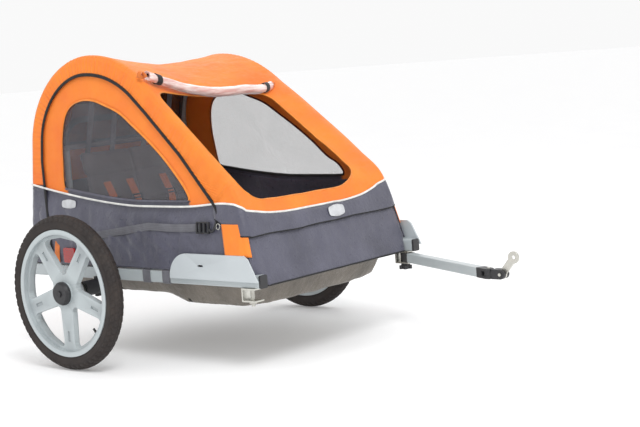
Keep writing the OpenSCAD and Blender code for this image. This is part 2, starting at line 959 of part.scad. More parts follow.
// hand knob that clamps the tow arm's pivot bolt
knob_gap = 0.3;
module arm_knob() {
    color([0.08, 0.08, 0.09]) from_axle()
        translate([pivot[0], pivot[1], bolt_end - 4])
            difference() {
                union() {
                    cylinder(h = bracket_low - knob_gap - bolt_end + 4, r = 12);
                    for (i = [0:4])
                        rotate([0, 0, 72 * i])
                            translate([13, 0, 0])
                                cylinder(h = 10, r = 5);
                }
                translate([0, 0, 3])
                    cylinder(h = 20, r = bolt_r + run_gap);
            }
}

// ---------- cloth ----------

// rod between two points
module rod_between(a, b, r) {
    d = b - a;
    translate(a)
        rotate([0, acos(d[2] / norm(d)), atan2(d[1], d[0])])
            cylinder(h = norm(d), r = r);
}

// webbing that faces forward: w wide across the trailer, t thick
module front_strap(x, from, to, w, t) {
    d = to - from;
    translate([x - w / 2, from[0], from[1]])
        rotate([atan2(d[1], d[0]), 0, 0])
            cube([w, norm(d), t]);
}

// the inner edge of the cover's side flaps, further in at the front
hem_inset = 36;
hem_rear = 8;
hem_front = 3;
function hem_at(inset, i) =
    inset + hem_inset + max(0, row_rear + 1 - i) * hem_rear + max(0, i - row_roll) * hem_front;
function hem_line(side, extra, first, last) = [
    for (i = [first:last])
        outline(hem_at(side_inset(side), i) + extra, cover_low)[i]
];
function reversed(list) = [for (i = [len(list) - 1:-1:0]) list[i]];
function cover_edge(side, first, last) = [
    for (i = [first:last])
        outline(side_inset(side) - cover_in, cover_low)[i]
];
frame_out = arch_r + 0.5;
frame_t = 1.8;
flap_out = frame_out + frame_t + 0.1;
// flaps of the cover that hang over its sides
module side_flaps(first, last) {
    for (side = [-1, 1])
        side_cloth(side, flap_out, cover_out - flap_out)
            polygon(concat(cover_edge(side, first, last), reversed(hem_line(side, 0, first, last))));
}
module top_cover() {
    color([0.92, 0.5, 0.22]) from_axle() {
        cover_rows(row_rear, row_roll, 0, 1);
        cover_rows(row_roll, row_sill, 0, 0.1);
        cover_rows(row_roll, row_sill, 0.9, 1);
        cover_rows(row_sill, row_front, 0, 1);
        side_flaps(row_rear, row_front);
    }
}
// the panel's skirt goes down between the rails, in front of the cross tube
skirt_x = rail_in - 4;
skirt_z = 213;
skirt_edge = [0.056, 0.944];
function skirt_rows(line, back) = [
    [for (t = skirt_edge) across(line[0][last_row], line[1][last_row], t, 0)],
    [[-skirt_x, -536 + back, skirt_z], [skirt_x, -521 + back, skirt_z]]
];
module front_panel() {
    color([0.42, 0.42, 0.47]) from_axle() {
        cover_rows(row_front, last_row, 0, 1);
        cross_cloth(skirt_rows([cover_right, cover_left], 0), skirt_rows([lining_right, lining_left], cloth),
            [0, 1], [0, 0]);
    }
}
module rear_panel() {
    color([0.42, 0.42, 0.47]) from_axle() {
        cover_rows(0, row_rear, 0, 1);
        side_flaps(0, row_rear);
    }
}

// the white piping's height along the side, from the rear to the front
piping_low = 402;
piping_rise = 52;
function piping_z(y) = piping_low + piping_rise * pow(max(0, (y + 130) / (rear_y + 130)), 1.5)
    + 14 * pow(max(0, (-y - 130) / 300), 2);
piping_ys = [for (y = [360:-30:-540]) y];
function piping_line(up) = [for (y = piping_ys) [y, piping_z(y) + up]];
module side_shape(side, grow) {
    polygon(outline(side_inset(side) - grow, cover_low));
}
module below_piping(up) {
    polygon(concat(piping_line(up), [[-560, 200], [400, 200]]));
}

// see-through window on each side
window_inset = 86;
window_rear = 172;
window_front = -300;
window_low = 430;
module window_shape(side) {
    intersection() {
        polygon(outline(side_inset(side) + window_inset, cover_low));
        translate([(window_rear + window_front) / 2, window_low + 200])
            round_rect(window_rear - window_front, 400, 30);
    }
}
module lower_walls() {
    color([0.42, 0.42, 0.47]) from_axle()
        for (side = [-1, 1])
            side_cloth(side, frame_out, frame_t)
                intersection() {
                    side_shape(side, cover_in - wall_gap);
                    below_piping(0);
                }
}
module window_frames() {
    color([0.95, 0.55, 0.2]) from_axle()
        for (side = [-1, 1])
            side_cloth(side, frame_out, frame_t)
                difference() {
                    side_shape(side, cover_in - wall_gap);
                    below_piping(0);
                    window_shape(side);
                }
}
module window_meshes() {
    color([0.7, 0.7, 0.72]) from_axle()
        for (side = [-1, 1])
            side_cloth(side, frame_out + 0.5, 0.8)
                window_shape(side);
}

// elastic hems of the cover's flaps
hem_w = 9;
module hem_cords() {
    color([0.06, 0.06, 0.07]) from_axle()
        for (side = [-1, 1])
            side_cloth(side, cover_out, 4)
                polygon(concat(hem_line(side, -hem_w / 2, 0, row_front), reversed(hem_line(side, hem_w / 2, 0, row_front))));
}

// white piping between the two cloths, along the sides and across the front
piping_w = 5;
module piping() {
    a = across(cover_right[row_front], cover_left[row_front], 0.005, 0);
    b = across(cover_right[row_front], cover_left[row_front], 0.995, 0);
    color([0.93, 0.93, 0.9]) from_axle() {
        for (side = [-1, 1])
            side_cloth(side, cover_out, 3)
                intersection() {
                    side_shape(side, cover_in);
                    polygon(concat(piping_line(piping_w / 2), reversed(piping_line(-piping_w / 2))));
                    translate([-330, 0])
                        square([260, 800]);
                }
        rod_between(a + [0, -piping_w / 2, 0], b + [0, -piping_w / 2, 0], piping_w / 2 - 0.3);
    }
}

// rolled rain shield over the top edge of the front opening; its middle hangs down the slope
roll_bow = 36;
band_ts = [0.07, 0.91];
band_span = 0.03;
roll_ts = [0.02, 0.07, 0.1, 0.3, 0.5, 0.7, 0.91, 0.94, 0.98];
roll_lift = roll_d / 2 + 4;
function roll_point(t) =
    across(cover_right[row_roll - 1], cover_left[row_roll - 1], t, sag_depth)
    + [0, slope_n[0], slope_n[1]] * roll_lift
    + [0, slope_t[0], slope_t[1]] * roll_bow * 4 * t * (1 - t);
roll_sides = 12;
module shield_roll() {
    m = roll_sides;
    n = len(roll_ts);
    rings = [
        for (t = roll_ts, a = [0:m - 1])
            roll_point(t) + roll_d / 2 * [0, cos(360 * a / m), sin(360 * a / m)]
    ];
    walls = [
        for (i = [0:n - 2], a = [0:m - 1])
            let (b = (a + 1) % m, p = i * m, q = p + m)
            each [[p + a, p + b, q + a], [p + b, q + b, q + a]]
    ];
    first = [for (a = [m - 1:-1:0]) a];
    last = [for (a = [0:m - 1]) (n - 1) * m + a];
    color([0.92, 0.8, 0.78, 0.7]) from_axle()
        polyhedron(rings, concat([first], walls, [last]));
}
band_gap = 0.8;
band_t = 2;
module roll_bands() {
    color([0.08, 0.08, 0.08]) from_axle()
        for (t = band_ts)
            let (a = roll_point(t), b = roll_point(t + band_span), d = b - a)
                difference() {
                    rod_between(a, b, roll_d / 2 + band_gap + band_t);
                    rod_between(a - d / 4, b + d / 4, roll_d / 2 + band_gap);
                }
}
module roll_tabs() {
    color([0.85, 0.3, 0.15]) from_axle()
        for (t = [-0.022, 1.022])
            translate(roll_point(t) - [0, 0, 6])
                cube([11, 24, 16], center = true);
}

// ---------- seat ----------

seat_half = 215;
seat_front = -60;
seat_top = 300;
back_half = 185;
back_foot = [168, 296];
back_head = [236, 548];
back_t = 22;
module seat_cushion() {
    color([0.38, 0.37, 0.38]) from_axle()
        translate([-seat_half, 0, 0])
            rotate([90, 0, 90])
                linear_extrude(2 * seat_half)
                    polygon([
                        [seat_front, 236], [seat_front - 8, 262], [seat_front + 14, seat_top],
                        [162, seat_top - 6], [184, 284], [184, 240]
                    ]);
}
module seat_back() {
    color([0.38, 0.37, 0.38]) from_axle()
        front_strap(0, back_foot + [0, 6], back_head, 2 * back_half, back_t);
}

// straps from the seat back's top to the roof, two for each child
seat_xs = [-105, 105];
strap_half = 45;
strap_head = [196, 688];
module head_straps() {
    color([0.45, 0.45, 0.48]) from_axle()
        for (x = seat_xs, k = [-1, 1])
            front_strap(x + k * strap_half, back_head + [6, 6], strap_head, webbing_w, 2);
}

// shoulder straps, lap straps and crotch straps
module harness_straps() {
    color([0.95, 0.5, 0.18]) from_axle()
        for (x = seat_xs) {
            for (k = [-1, 1])
                front_strap(x + k * strap_half, [126, 318], back_head + [-32, -6], webbing_w + 10, 3);
            translate([x - 75, 96, seat_top + 0.5])
                cube([150, webbing_w + 4, 3]);
        }
}
module harness_buckles() {
    color([0.08, 0.08, 0.09]) from_axle()
        for (x = seat_xs)
            translate([x - 24, 92, seat_top + 4])
                cube([48, 32, 14]);
}

// ---------- straps and marks on the sides ----------

strap_z = 352;
strap_rear = 70;
strap_mid = -215;
lock_y = -346;
lock_l = 44;
module tension_straps() {
    color([0.5, 0.5, 0.52]) from_axle()
        for (side = [-1, 1])
            side_cloth(side, flap_out, 2)
                polygon([
                    [strap_rear, strap_z - 4], [strap_mid, strap_z - webbing_w / 2],
                    [lock_y + 6, strap_z - webbing_w / 2], [lock_y + 6, strap_z + webbing_w / 2],
                    [strap_mid, strap_z + webbing_w / 2 - 6], [strap_rear, strap_z + 4]
                ]);
}
module strap_locks() {
    color([0.07, 0.07, 0.08]) from_axle()
        for (side = [-1, 1])
            side_cloth(side, flap_out, 9)
                translate([lock_y - lock_l / 2 + 6, strap_z])
                    difference() {
                        round_rect(lock_l, 28, 5);
                        translate([-8, 0])
                            square([5, 17], center = true);
                        translate([5, 0])
                            square([5, 17], center = true);
                    }
}
module reflective_patches() {
    color([0.86, 0.87, 0.88]) from_axle() {
        for (side = [-1, 1])
            side_cloth(side, frame_out + frame_t, 0.4)
                translate([150, 404])
                    round_rect(56, 24, 8);
        translate([40, cover_right[row_front + 1][1] - 1, 352])
            rotate([90 - 14, 0, 0])
                linear_extrude(1)
                    round_rect(64, 30, 8);
    }
}

// ---------- the nodes ----------

side_rails();
rail_caps();
cross_tubes();
axle_carriers();
axle_plates();
stub_axles();
arch_brackets_right();
arch_brackets_left();
arch_pins();
hoop_brackets();
hoop_pins();
side_guards();
tow_brackets();
tow_bolts();
floor_tub();
rail_loops();
rear_reflectors();
arch_right();
arch_left();
seat_hoop();
tyre_right();
wheel_right();
valve_right();
hub_cap_right();
release_button_right();
tyre_left();
wheel_left();
valve_left();
hub_cap_left();
release_button_left();
arm_tube();
arm_boss();
arm_nose();
nose_pin();
coupler();
coupler_pin();
hitch_plate();
arm_knob();
top_cover();
front_panel();
rear_panel();
lower_walls();
window_frames();
window_meshes();
hem_cords();
piping();
shield_roll();
roll_bands();
roll_tabs();
seat_cushion();
seat_back();
head_straps();
harness_straps();
harness_buckles();
tension_straps();
strap_locks();
reflective_patches();
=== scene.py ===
"""Child bicycle trailer: soft goods, finishes, studio floor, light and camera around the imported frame."""
import math
import bpy
import bmesh
from mathutils import Matrix, Vector, noise

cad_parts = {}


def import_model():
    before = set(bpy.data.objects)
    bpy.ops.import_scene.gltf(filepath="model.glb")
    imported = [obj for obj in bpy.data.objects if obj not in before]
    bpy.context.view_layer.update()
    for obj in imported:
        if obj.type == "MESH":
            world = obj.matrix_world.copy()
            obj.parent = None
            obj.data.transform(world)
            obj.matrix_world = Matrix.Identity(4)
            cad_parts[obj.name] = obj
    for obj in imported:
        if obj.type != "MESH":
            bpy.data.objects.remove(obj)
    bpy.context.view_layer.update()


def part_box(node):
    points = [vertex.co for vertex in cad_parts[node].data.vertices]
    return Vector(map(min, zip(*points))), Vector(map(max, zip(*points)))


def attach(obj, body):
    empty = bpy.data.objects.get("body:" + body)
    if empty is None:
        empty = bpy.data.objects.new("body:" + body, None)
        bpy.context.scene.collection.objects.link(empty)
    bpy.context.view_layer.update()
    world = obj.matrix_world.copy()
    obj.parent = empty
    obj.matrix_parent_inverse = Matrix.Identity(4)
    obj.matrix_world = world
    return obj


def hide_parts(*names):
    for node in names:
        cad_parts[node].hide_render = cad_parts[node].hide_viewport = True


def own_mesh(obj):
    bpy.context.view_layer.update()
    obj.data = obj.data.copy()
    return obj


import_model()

# ---------------------------------------------------------------- frame of the part
# lengths below are millimetres, y is measured from the axle line as in the part's source
tyre_low, tyre_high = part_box("tyre_right")
SHIFT = (tyre_low[1] + tyre_high[1]) / 2 * 1000


def world(p):
    return Vector((p[0], p[1] + SHIFT, p[2])) / 1000


def rad(a):
    return math.radians(a)


HINGE_X = 298
HINGE_Z = {-1: 312, 1: 264}
NEST = {-1: 0, 1: 22}
LEAN = rad(6.2)
TOP = 780
REAR_Y, REAR_BEND, BEND_Y = 295, 210, 85
BEND_Z = TOP - REAR_BEND
FRONT_BEND, SLOPE, RUN = 330, rad(39), 392
KNEE = 120
LOW = 250
SLOPE_N = (-math.sin(SLOPE), math.cos(SLOPE))
SLOPE_T = (-math.cos(SLOPE), -math.sin(SLOPE))
FRONT_C = (BEND_Y, TOP - FRONT_BEND)
KNEE_C = tuple(FRONT_C[i] + (FRONT_BEND - KNEE) * SLOPE_N[i] + RUN * SLOPE_T[i] for i in (0, 1))
LEG = rad(75)


def edge(u, inset):
    """Point (y, z) of the arch outline at station u, inset inwards."""
    if u <= 6:
        return REAR_Y - inset, LOW + (BEND_Z - LOW) * u / 6
    if u <= 15:
        a = rad(10 * (u - 6))
        return BEND_Y + (REAR_BEND - inset) * math.cos(a), BEND_Z + (REAR_BEND - inset) * math.sin(a)
    if u <= 21:
        a = rad(90 + 6 * (u - 15) if u <= 16 else 96 + 33 * (u - 16) / 5)
        r = FRONT_BEND - inset
        return FRONT_C[0] + r * math.cos(a), FRONT_C[1] + r * math.sin(a)
    if u <= 27:
        r, d = FRONT_BEND - inset, RUN * (u - 21) / 6
        return FRONT_C[0] + r * SLOPE_N[0] + d * SLOPE_T[0], FRONT_C[1] + r * SLOPE_N[1] + d * SLOPE_T[1]
    if u <= 31:
        a = rad(129 + 9 * (u - 27))
        return KNEE_C[0] + (KNEE - inset) * math.cos(a), KNEE_C[1] + (KNEE - inset) * math.sin(a)
    ky = KNEE_C[0] - (KNEE - inset) * math.sin(LEG)
    kz = KNEE_C[1] + (KNEE - inset) * math.cos(LEG)
    z = kz + (LOW - kz) * (u - 31) / 3
    return ky + (z - kz) / math.tan(LEG), z


def leaned(side, p, out):
    h = p[1] - HINGE_Z[side]
    return (side * (HINGE_X - h * math.sin(LEAN) + out * math.cos(LEAN)), p[0], p[1] + out * math.sin(LEAN))


def on_side(side, u, inset, out):
    return leaned(side, edge(u, inset + NEST[side]), out)


def bisect(f, lo, hi):
    """Root of a falling function."""
    for _ in range(40):
        mid = (lo + hi) / 2
        if f(mid) > 0:
            lo = mid
        else:
            hi = mid
    return (lo + hi) / 2


def u_at_z(side, inset, z):
    return bisect(lambda u: edge(u, inset + NEST[side])[1] - z, 18, 36)


def piping_z(y):
    return 402 + 52 * max(0, (y + 130) / (REAR_Y + 130)) ** 1.5 + 10 * math.exp(-((y + 425) / 80) ** 2)


def hem_at(u):
    return (36 + max(0, 5 - u) * 8 + max(0, min(u, 27) - 22) * 2 + max(0, min(u, 27) - 24.5) * 5.5
            + max(0, u - 27))


def lerp(a, b, t):
    return a + (b - a) * t


def mix(p, q, t):
    return tuple(a + (b - a) * t for a, b in zip(p, q))


def smooth(t):
    t = min(1, max(0, t))
    return t * t * (3 - 2 * t)


def wob(x, y=0.0, z=0.0):
    """Smooth noise from -1 to 1, the same on each run."""
    return noise.noise(Vector((x, y, z)))


# ---------------------------------------------------------------- materials
def lin(r, g, b):
    """Linear colour from display values 0 to 255."""
    def one(c):
        c /= 255
        return c / 12.92 if c <= 0.04045 else ((c + 0.055) / 1.055) ** 2.4
    return one(r), one(g), one(b), 1.0


class Nodes:
    """Small helper around a material's node tree."""

    def __init__(self, name):
        self.mat = bpy.data.materials.new(name)
        self.mat.use_nodes = True
        self.tree = self.mat.node_tree
        self.bsdf = next(n for n in self.tree.nodes if n.type == "BSDF_PRINCIPLED")
        self.coord = self.tree.nodes.new("ShaderNodeTexCoord")

    def new(self, kind, **values):
        n = self.tree.nodes.new(kind)
        for key, value in values.items():
            setattr(n, key, value)
        return n

    def link(self, a, b):
        self.tree.links.new(a, b)

    def put(self, name, value):
        """Gives the shader's own socket a constant or a link."""
        if hasattr(value, "is_linked"):
            self.link(value, self.bsdf.inputs[name])
        else:
            self.bsdf.inputs[name].default_value = value

    def math(self, op, a, b=None):
        n = self.new("ShaderNodeMath", operation=op)
        for i, v in enumerate((a, b)):
            if v is None:
                continue
            if isinstance(v, (int, float)):
                n.inputs[i].default_value = v
            else:
                self.link(v, n.inputs[i])
        return n.outputs[0]

    def noise(self, scale, detail=3.0, rough=0.55, stretch=None):
        n = self.new("ShaderNodeTexNoise")
        n.inputs["Scale"].default_value = scale
        n.inputs["Detail"].default_value = detail
        n.inputs["Roughness"].default_value = rough
        source = self.coord.outputs["Object"]
        if stretch:
            m = self.new("ShaderNodeMapping")
            m.inputs["Scale"].default_value = stretch
            self.link(source, m.inputs["Vector"])
            source = m.outputs[0]
        self.link(source, n.inputs["Vector"])
        return n.outputs["Fac"]

    def span(self, value, lo, hi, a=0.3, b=0.7):
        n = self.new("ShaderNodeMapRange")
        for i, v in enumerate((a, b, lo, hi)):
            n.inputs[i + 1].default_value = v
        self.link(value, n.inputs[0])
        return n.outputs[0]

    def blend(self, fac, a, b):
        n = self.new("ShaderNodeMix", data_type="RGBA")
        self.link(fac, n.inputs[0])
        for i, v in ((6, a), (7, b)):
            if hasattr(v, "is_linked"):
                self.link(v, n.inputs[i])
            else:
                n.inputs[i].default_value = v
        return n.outputs[2]

    def wave(self, scale, axis="X", space="UV"):
        n = self.new("ShaderNodeTexWave", wave_type="BANDS", bands_direction=axis)
        n.inputs["Scale"].default_value = scale
        n.inputs["Distortion"].default_value = 0
        self.link(self.coord.outputs[space], n.inputs["Vector"])
        return n.outputs["Fac"]

    def bumps(self, layers, bevel=0.0):
        """layers: (height socket, distance in metres, strength)."""
        normal = None
        if bevel:
            b = self.new("ShaderNodeBevel", samples=4)
            b.inputs["Radius"].default_value = bevel
            normal = b.outputs[0]
        for height, distance, strength in layers:
            n = self.new("ShaderNodeBump")
            n.inputs["Distance"].default_value = distance
            n.inputs["Strength"].default_value = strength
            self.link(height, n.inputs["Height"])
            if normal:
                self.link(normal, n.inputs["Normal"])
            normal = n.outputs[0]
        self.link(normal, self.bsdf.inputs["Normal"])


# one band of a wave texture is this many units long at scale 1
WAVE_UNIT = math.pi / 10


def cloth_mat(name, colour, shade, thread=0.0008, rough=(0.55, 0.75), sheen=0.25, crease=0.0012, coat=0.0):
    """Plain woven cloth: threads both ways with painted shade in the gaps between them, soft creases, uneven
    dye.
    """
    n = Nodes(name)
    scale = WAVE_UNIT / thread
    warp, weft = n.wave(scale, "X"), n.wave(scale, "Y")
    weave = n.math("MULTIPLY", warp, weft)
    tone = n.noise(9, 4)
    fine = n.noise(70, 3)
    colour_mix = n.blend(n.span(tone, 0, 1), colour, shade)
    # painted shade: where the weave is low, between the threads, the colour is mixed towards a darker copy of
    # the second tone
    gaps_shaded = n.blend(n.span(weave, 0.16, 0, 0, 1), colour_mix, tuple(c * 0.45 for c in shade[:3]) + (1,))
    n.put("Base Color", gaps_shaded)
    n.put("Roughness", n.span(fine, rough[0], rough[1]))
    n.put("Sheen Weight", sheen)
    n.put("Sheen Roughness", 0.4)
    n.put("Specular IOR Level", 0.4)
    n.put("Coat Weight", coat)
    n.put("Coat Roughness", 0.35)
    creases = n.noise(38, 5, 0.62)
    n.bumps([(creases, crease * 2.2, 0.55), (weave, 0.00015, 0.5)])
    return n.mat


NET_PITCH = 0.0016


def net_mat(name, colour, solid):
    """See-through net: crossing threads with open holes."""
    n = Nodes(name)
    scale = WAVE_UNIT / NET_PITCH
    threads = n.math("MAXIMUM", n.wave(scale, "X"), n.wave(scale, "Y"))
    tone = n.noise(14, 3)
    n.put("Base Color", n.blend(n.span(tone, 0, 1), colour, tuple(c * 0.75 for c in colour[:3]) + (1,)))
    n.put("Alpha", n.span(threads, 0.06, solid, 0.5, 0.95))
    n.put("Roughness", n.span(tone, 0.6, 0.8))
    n.bumps([(threads, 0.0002, 0.5)])
    return n.mat


def ribbed_mat(name, colour, pitch, axis="Y", rough=(0.6, 0.8), sheen=0.2, depth=0.0004, cross=0.0):
    """Webbing, elastic and piping: ribs along or across a band, with finer threads and painted shade in the
    grooves.
    """
    n = Nodes(name)
    ribs = n.wave(WAVE_UNIT / pitch, axis)
    height = ribs
    if cross:
        height = n.math("MULTIPLY", ribs, n.wave(WAVE_UNIT / cross, "X" if axis == "Y" else "Y"))
    tone = n.noise(40, 3)
    dark = tuple(c * 0.6 for c in colour[:3]) + (1,)
    base = n.blend(n.span(tone, 0, 0.7), colour, dark)
    # painted shade: the grooves between ribs are mixed towards this darker copy of the colour
    groove = tuple(c * 0.35 for c in colour[:3]) + (1,)
    n.put("Base Color", n.blend(n.span(height, 0.35, 0, 0, 0.6), base, groove))
    n.put("Roughness", n.span(tone, *rough))
    n.put("Sheen Weight", sheen)
    n.bumps([(height, depth, 0.7), (n.noise(300, 2), 0.0001, 0.4)])
    return n.mat


def hard_mat(name, colour, shade, rough=(0.4, 0.55), grain=600, depth=0.00008, metal=0.0, bevel=0.0012,
             coat=0.0, dust=None, spec=0.5, brushed=None):
    """Moulded plastic, paint, rubber or metal: grain, uneven gloss, rounded edges made lighter along their
    ridges.
    """
    n = Nodes(name)
    tone = n.noise(12, 4)
    fine = n.noise(grain, 2, stretch=brushed)
    base = n.blend(n.span(tone, 0, 1), colour, shade)
    geo = n.new("ShaderNodeNewGeometry")
    # convex edges are mixed towards a lighter copy of the colour
    edge_lightening = n.span(geo.outputs["Pointiness"], 0, 0.5, 0.52, 0.6)
    base = n.blend(edge_lightening, base, tuple(min(1, c * 1.35 + 0.02) for c in colour[:3]) + (1,))
    if dust:
        base = n.blend(n.span(n.noise(30, 5, 0.7), 0, 0.55, 0.45, 0.75), base, dust)
    n.put("Base Color", base)
    n.put("Roughness", n.span(n.noise(60, 4), *rough))
    n.put("Metallic", metal)
    n.put("Coat Weight", coat)
    n.put("Specular IOR Level", spec)
    n.bumps([(fine, depth, 0.6)], bevel)
    return n.mat


ORANGE = lin(250, 142, 46)
ORANGE_DEEP = lin(242, 124, 48)
MATS = {
    "cloth_orange": cloth_mat("orange cloth", ORANGE, ORANGE_DEEP, sheen=0.1),
    "cloth_grey": cloth_mat("blue-grey nylon", lin(92, 92, 108), lin(72, 72, 86), rough=(0.26, 0.44), 
                             sheen=0.25, coat=0.25, crease=0.003),
    "cloth_floor": cloth_mat("brown-grey floor cloth", lin(132, 124, 114), lin(98, 92, 84),
                             rough=(0.36, 0.55), sheen=0.15, crease=0.005),
    "cloth_seat": cloth_mat("grey seat cloth", lin(118, 114, 116), lin(96, 92, 96), thread=0.0011, sheen=0.3),
    "mesh": net_mat("grey net", lin(122, 122, 128), solid=0.42),
    "net_black": net_mat("black net", lin(30, 30, 34), solid=0.85),
    "elastic": ribbed_mat("black elastic", lin(14, 14, 16), 0.0016, "Y", sheen=0.04),
    "piping_white": ribbed_mat("white piping", lin(250, 250, 246), 0.0014, "Y", (0.35, 0.5), 0.1, 0.0002),
    "webbing": ribbed_mat("grey webbing", lin(112, 112, 120), 0.0018, "Y", depth=0.0003, cross=0.0022),
    "webbing_orange": ribbed_mat("orange webbing", lin(240, 128, 46), 0.0018, "Y", depth=0.0003,
                                 cross=0.0022),
    "webbing_black": ribbed_mat("black webbing", lin(30, 30, 33), 0.0018, "Y", depth=0.0003, cross=0.0022),
    "binding_orange": ribbed_mat("orange binding", lin(252, 150, 44), 0.0014, "Y", depth=0.0002),
    # painted shade: the inner binding round each window takes the dark red that the orange border shows in
    # shade inside the window
    "binding_shade_red": ribbed_mat("binding painted dark red as shade", lin(96, 30, 24), 0.0014, "Y", depth=0.0002),
    "patch": ribbed_mat("reflective patch", lin(226, 228, 232), 0.0024, "X", (0.25, 0.4), 0.0, 0.0002,
                        0.0024),
    "frame_grey": hard_mat("silver-grey powder coat", lin(166, 173, 175), lin(154, 161, 164),
                           (0.32, 0.45), 900, 0.00006, coat=0.15),
    "black_plastic": hard_mat("black grained plastic", lin(34, 34, 37), lin(27, 27, 30), (0.38, 0.55), 900,
                              0.0001),
    "black_steel": hard_mat("black painted steel", lin(38, 38, 42), lin(30, 30, 33), (0.3, 0.45), 700,
                            0.00006, coat=0.1),
    "zinc": hard_mat("zinc-plated steel", lin(196, 195, 188), lin(170, 168, 160), (0.25, 0.42), 500, 0.00005,
                     metal=1.0, brushed=(1, 8, 1)),
    "guard_grey": hard_mat("light grey guard", lin(178, 184, 187), lin(166, 173, 177), (0.38, 0.5), 700,
                           0.0001, bevel=0.002),
    "wheel_grey": hard_mat("light grey moulded nylon", lin(172, 180, 182), lin(164, 171, 174), (0.35, 0.48),
                           700, 0.0001, bevel=0.0025),
    "tyre": hard_mat("dusty rubber", lin(50, 44, 42), lin(42, 37, 36), (0.6, 0.8), 500, 0.0002,
                     dust=lin(70, 62, 57), spec=0.35),
    "valve": hard_mat("black rubber", lin(26, 26, 28), lin(20, 20, 22), (0.5, 0.65), 500, 0.0001),
}


def reflector_mat():
    """Red prismatic lens: a fine lattice of facets under gloss."""
    n = Nodes("red reflector")
    cells = n.new("ShaderNodeTexVoronoi", feature="DISTANCE_TO_EDGE")
    cells.inputs["Scale"].default_value = 320
    cells.inputs["Randomness"].default_value = 0.0
    n.link(n.coord.outputs["Object"], cells.inputs["Vector"])
    lattice = cells.outputs["Distance"]
    n.put("Base Color", n.blend(n.span(lattice, 0, 1, 0.02, 0.3), lin(120, 8, 10), lin(222, 30, 30)))
    n.put("Roughness", n.span(n.noise(80, 3), 0.12, 0.25))
    n.put("Coat Weight", 0.8)
    n.bumps([(lattice, 0.0006, 0.6)], 0.001)
    return n.mat


def vinyl_mat():
    """Clear vinyl rolled up: milky, pinkish, streaked along the roll."""
    n = Nodes("rolled vinyl")
    streak = n.noise(16, 5, 0.65, stretch=(0.6, 7, 7))
    n.put("Base Color", n.blend(n.span(streak, 0, 1, 0.35, 0.65), lin(250, 232, 226), lin(214, 150, 140)))
    n.put("Roughness", n.span(streak, 0.12, 0.32))
    n.put("Transmission Weight", 0.12)
    n.put("Coat Weight", 0.5)
    n.bumps([(streak, 0.004, 0.5), (n.noise(120, 3, stretch=(0.3, 3, 3)), 0.0008, 0.4)])
    return n.mat


MATS["reflector_red"] = reflector_mat()
MATS["vinyl"] = vinyl_mat()

# CAD nodes whose shape is kept take the finer finish of their own slot
KEPT = {
    "frame_grey": ("side_rails", "cross_tubes", "arch_right", "arch_left", "seat_hoop", "arm_tube",),
    "black_plastic": ("rail_caps", "axle_carriers", "hub_cap_right", "hub_cap_left",
        "release_button_right", "release_button_left", "arm_boss", "arm_nose", "coupler", "arm_knob",),
    "zinc": ("axle_plates", "stub_axles", "arch_pins", "hoop_pins", "tow_brackets", "tow_bolts",
        "nose_pin", "coupler_pin", "hitch_plate",),
    "black_steel": ("arch_brackets_right", "arch_brackets_left", "hoop_brackets",),
    "guard_grey": ("side_guards",),
    "reflector_red": ("rear_reflectors",),
    "wheel_grey": ("wheel_right", "wheel_left",),
    "valve": ("valve_right", "valve_left",),
}
for mat_name, node_names in KEPT.items():
    for node_name in node_names:
        for slot in bpy.data.objects[node_name].material_slots:
            slot.material = MATS[mat_name]


# ---------------------------------------------------------------- mesh helpers
def add_object(name, data):
    obj = bpy.data.objects.new(name, data)
    bpy.context.scene.collection.objects.link(obj)
    return obj


def make(name, verts, faces, uvs=None, mat=None):
    """Object from points in millimetres; uvs are per vertex, in metres."""
    me = bpy.data.meshes.new(name)
    me.from_pydata([world(v) for v in verts], [], faces)
    me.validate()
    me.update()
    obj = add_object(name, me)
    if uvs:
        layer = me.uv_layers.new(name="UVMap")
        for loop in me.loops:
            layer.data[loop.index].uv = uvs[loop.vertex_index]
    me.polygons.foreach_set("use_smooth", [True] * len(me.polygons))
    if mat:
        me.materials.append(MATS[mat])
    return obj


def face_outwards(obj):
    """Turns every face of a closed piece outwards."""
    bm = bmesh.new()
    bm.from_mesh(obj.data)
    bmesh.ops.recalc_face_normals(bm, faces=bm.faces)
    bm.to_mesh(obj.data)
    bm.free()
    return obj


def bake(obj):
    """Applies the modifiers, so the mesh is final."""
    dg = bpy.context.evaluated_depsgraph_get()
    me = bpy.data.meshes.new_from_object(obj.evaluated_get(dg), preserve_all_data_layers=True, depsgraph=dg)
    obj.modifiers.clear()
    obj.data = me
    return obj


def thicken(obj, t):
    """Gives a sheet its thickness, half on each side."""
    m = obj.modifiers.new("thick", "SOLIDIFY")
    m.thickness = t / 1000
    m.offset = 0
    return bake(obj)


def join(name, objs):
    """One object from several, keeping their materials."""
    bm = bmesh.new()
    mats = []
    for o in objs:
        for m in o.data.materials:
            if m not in mats:
                mats.append(m)
    for o in objs:
        first = len(bm.faces)
        bm.from_mesh(o.data)
        bm.faces.ensure_lookup_table()
        for f in bm.faces[first:]:
            f.material_index = mats.index(o.data.materials[min(f.material_index, len(o.data.materials) - 1)])
    me = bpy.data.meshes.new(name)
    bm.to_mesh(me)
    bm.free()
    for m in mats:
        me.materials.append(m)
    for o in objs:
        bpy.data.objects.remove(o)
    return add_object(name, me)


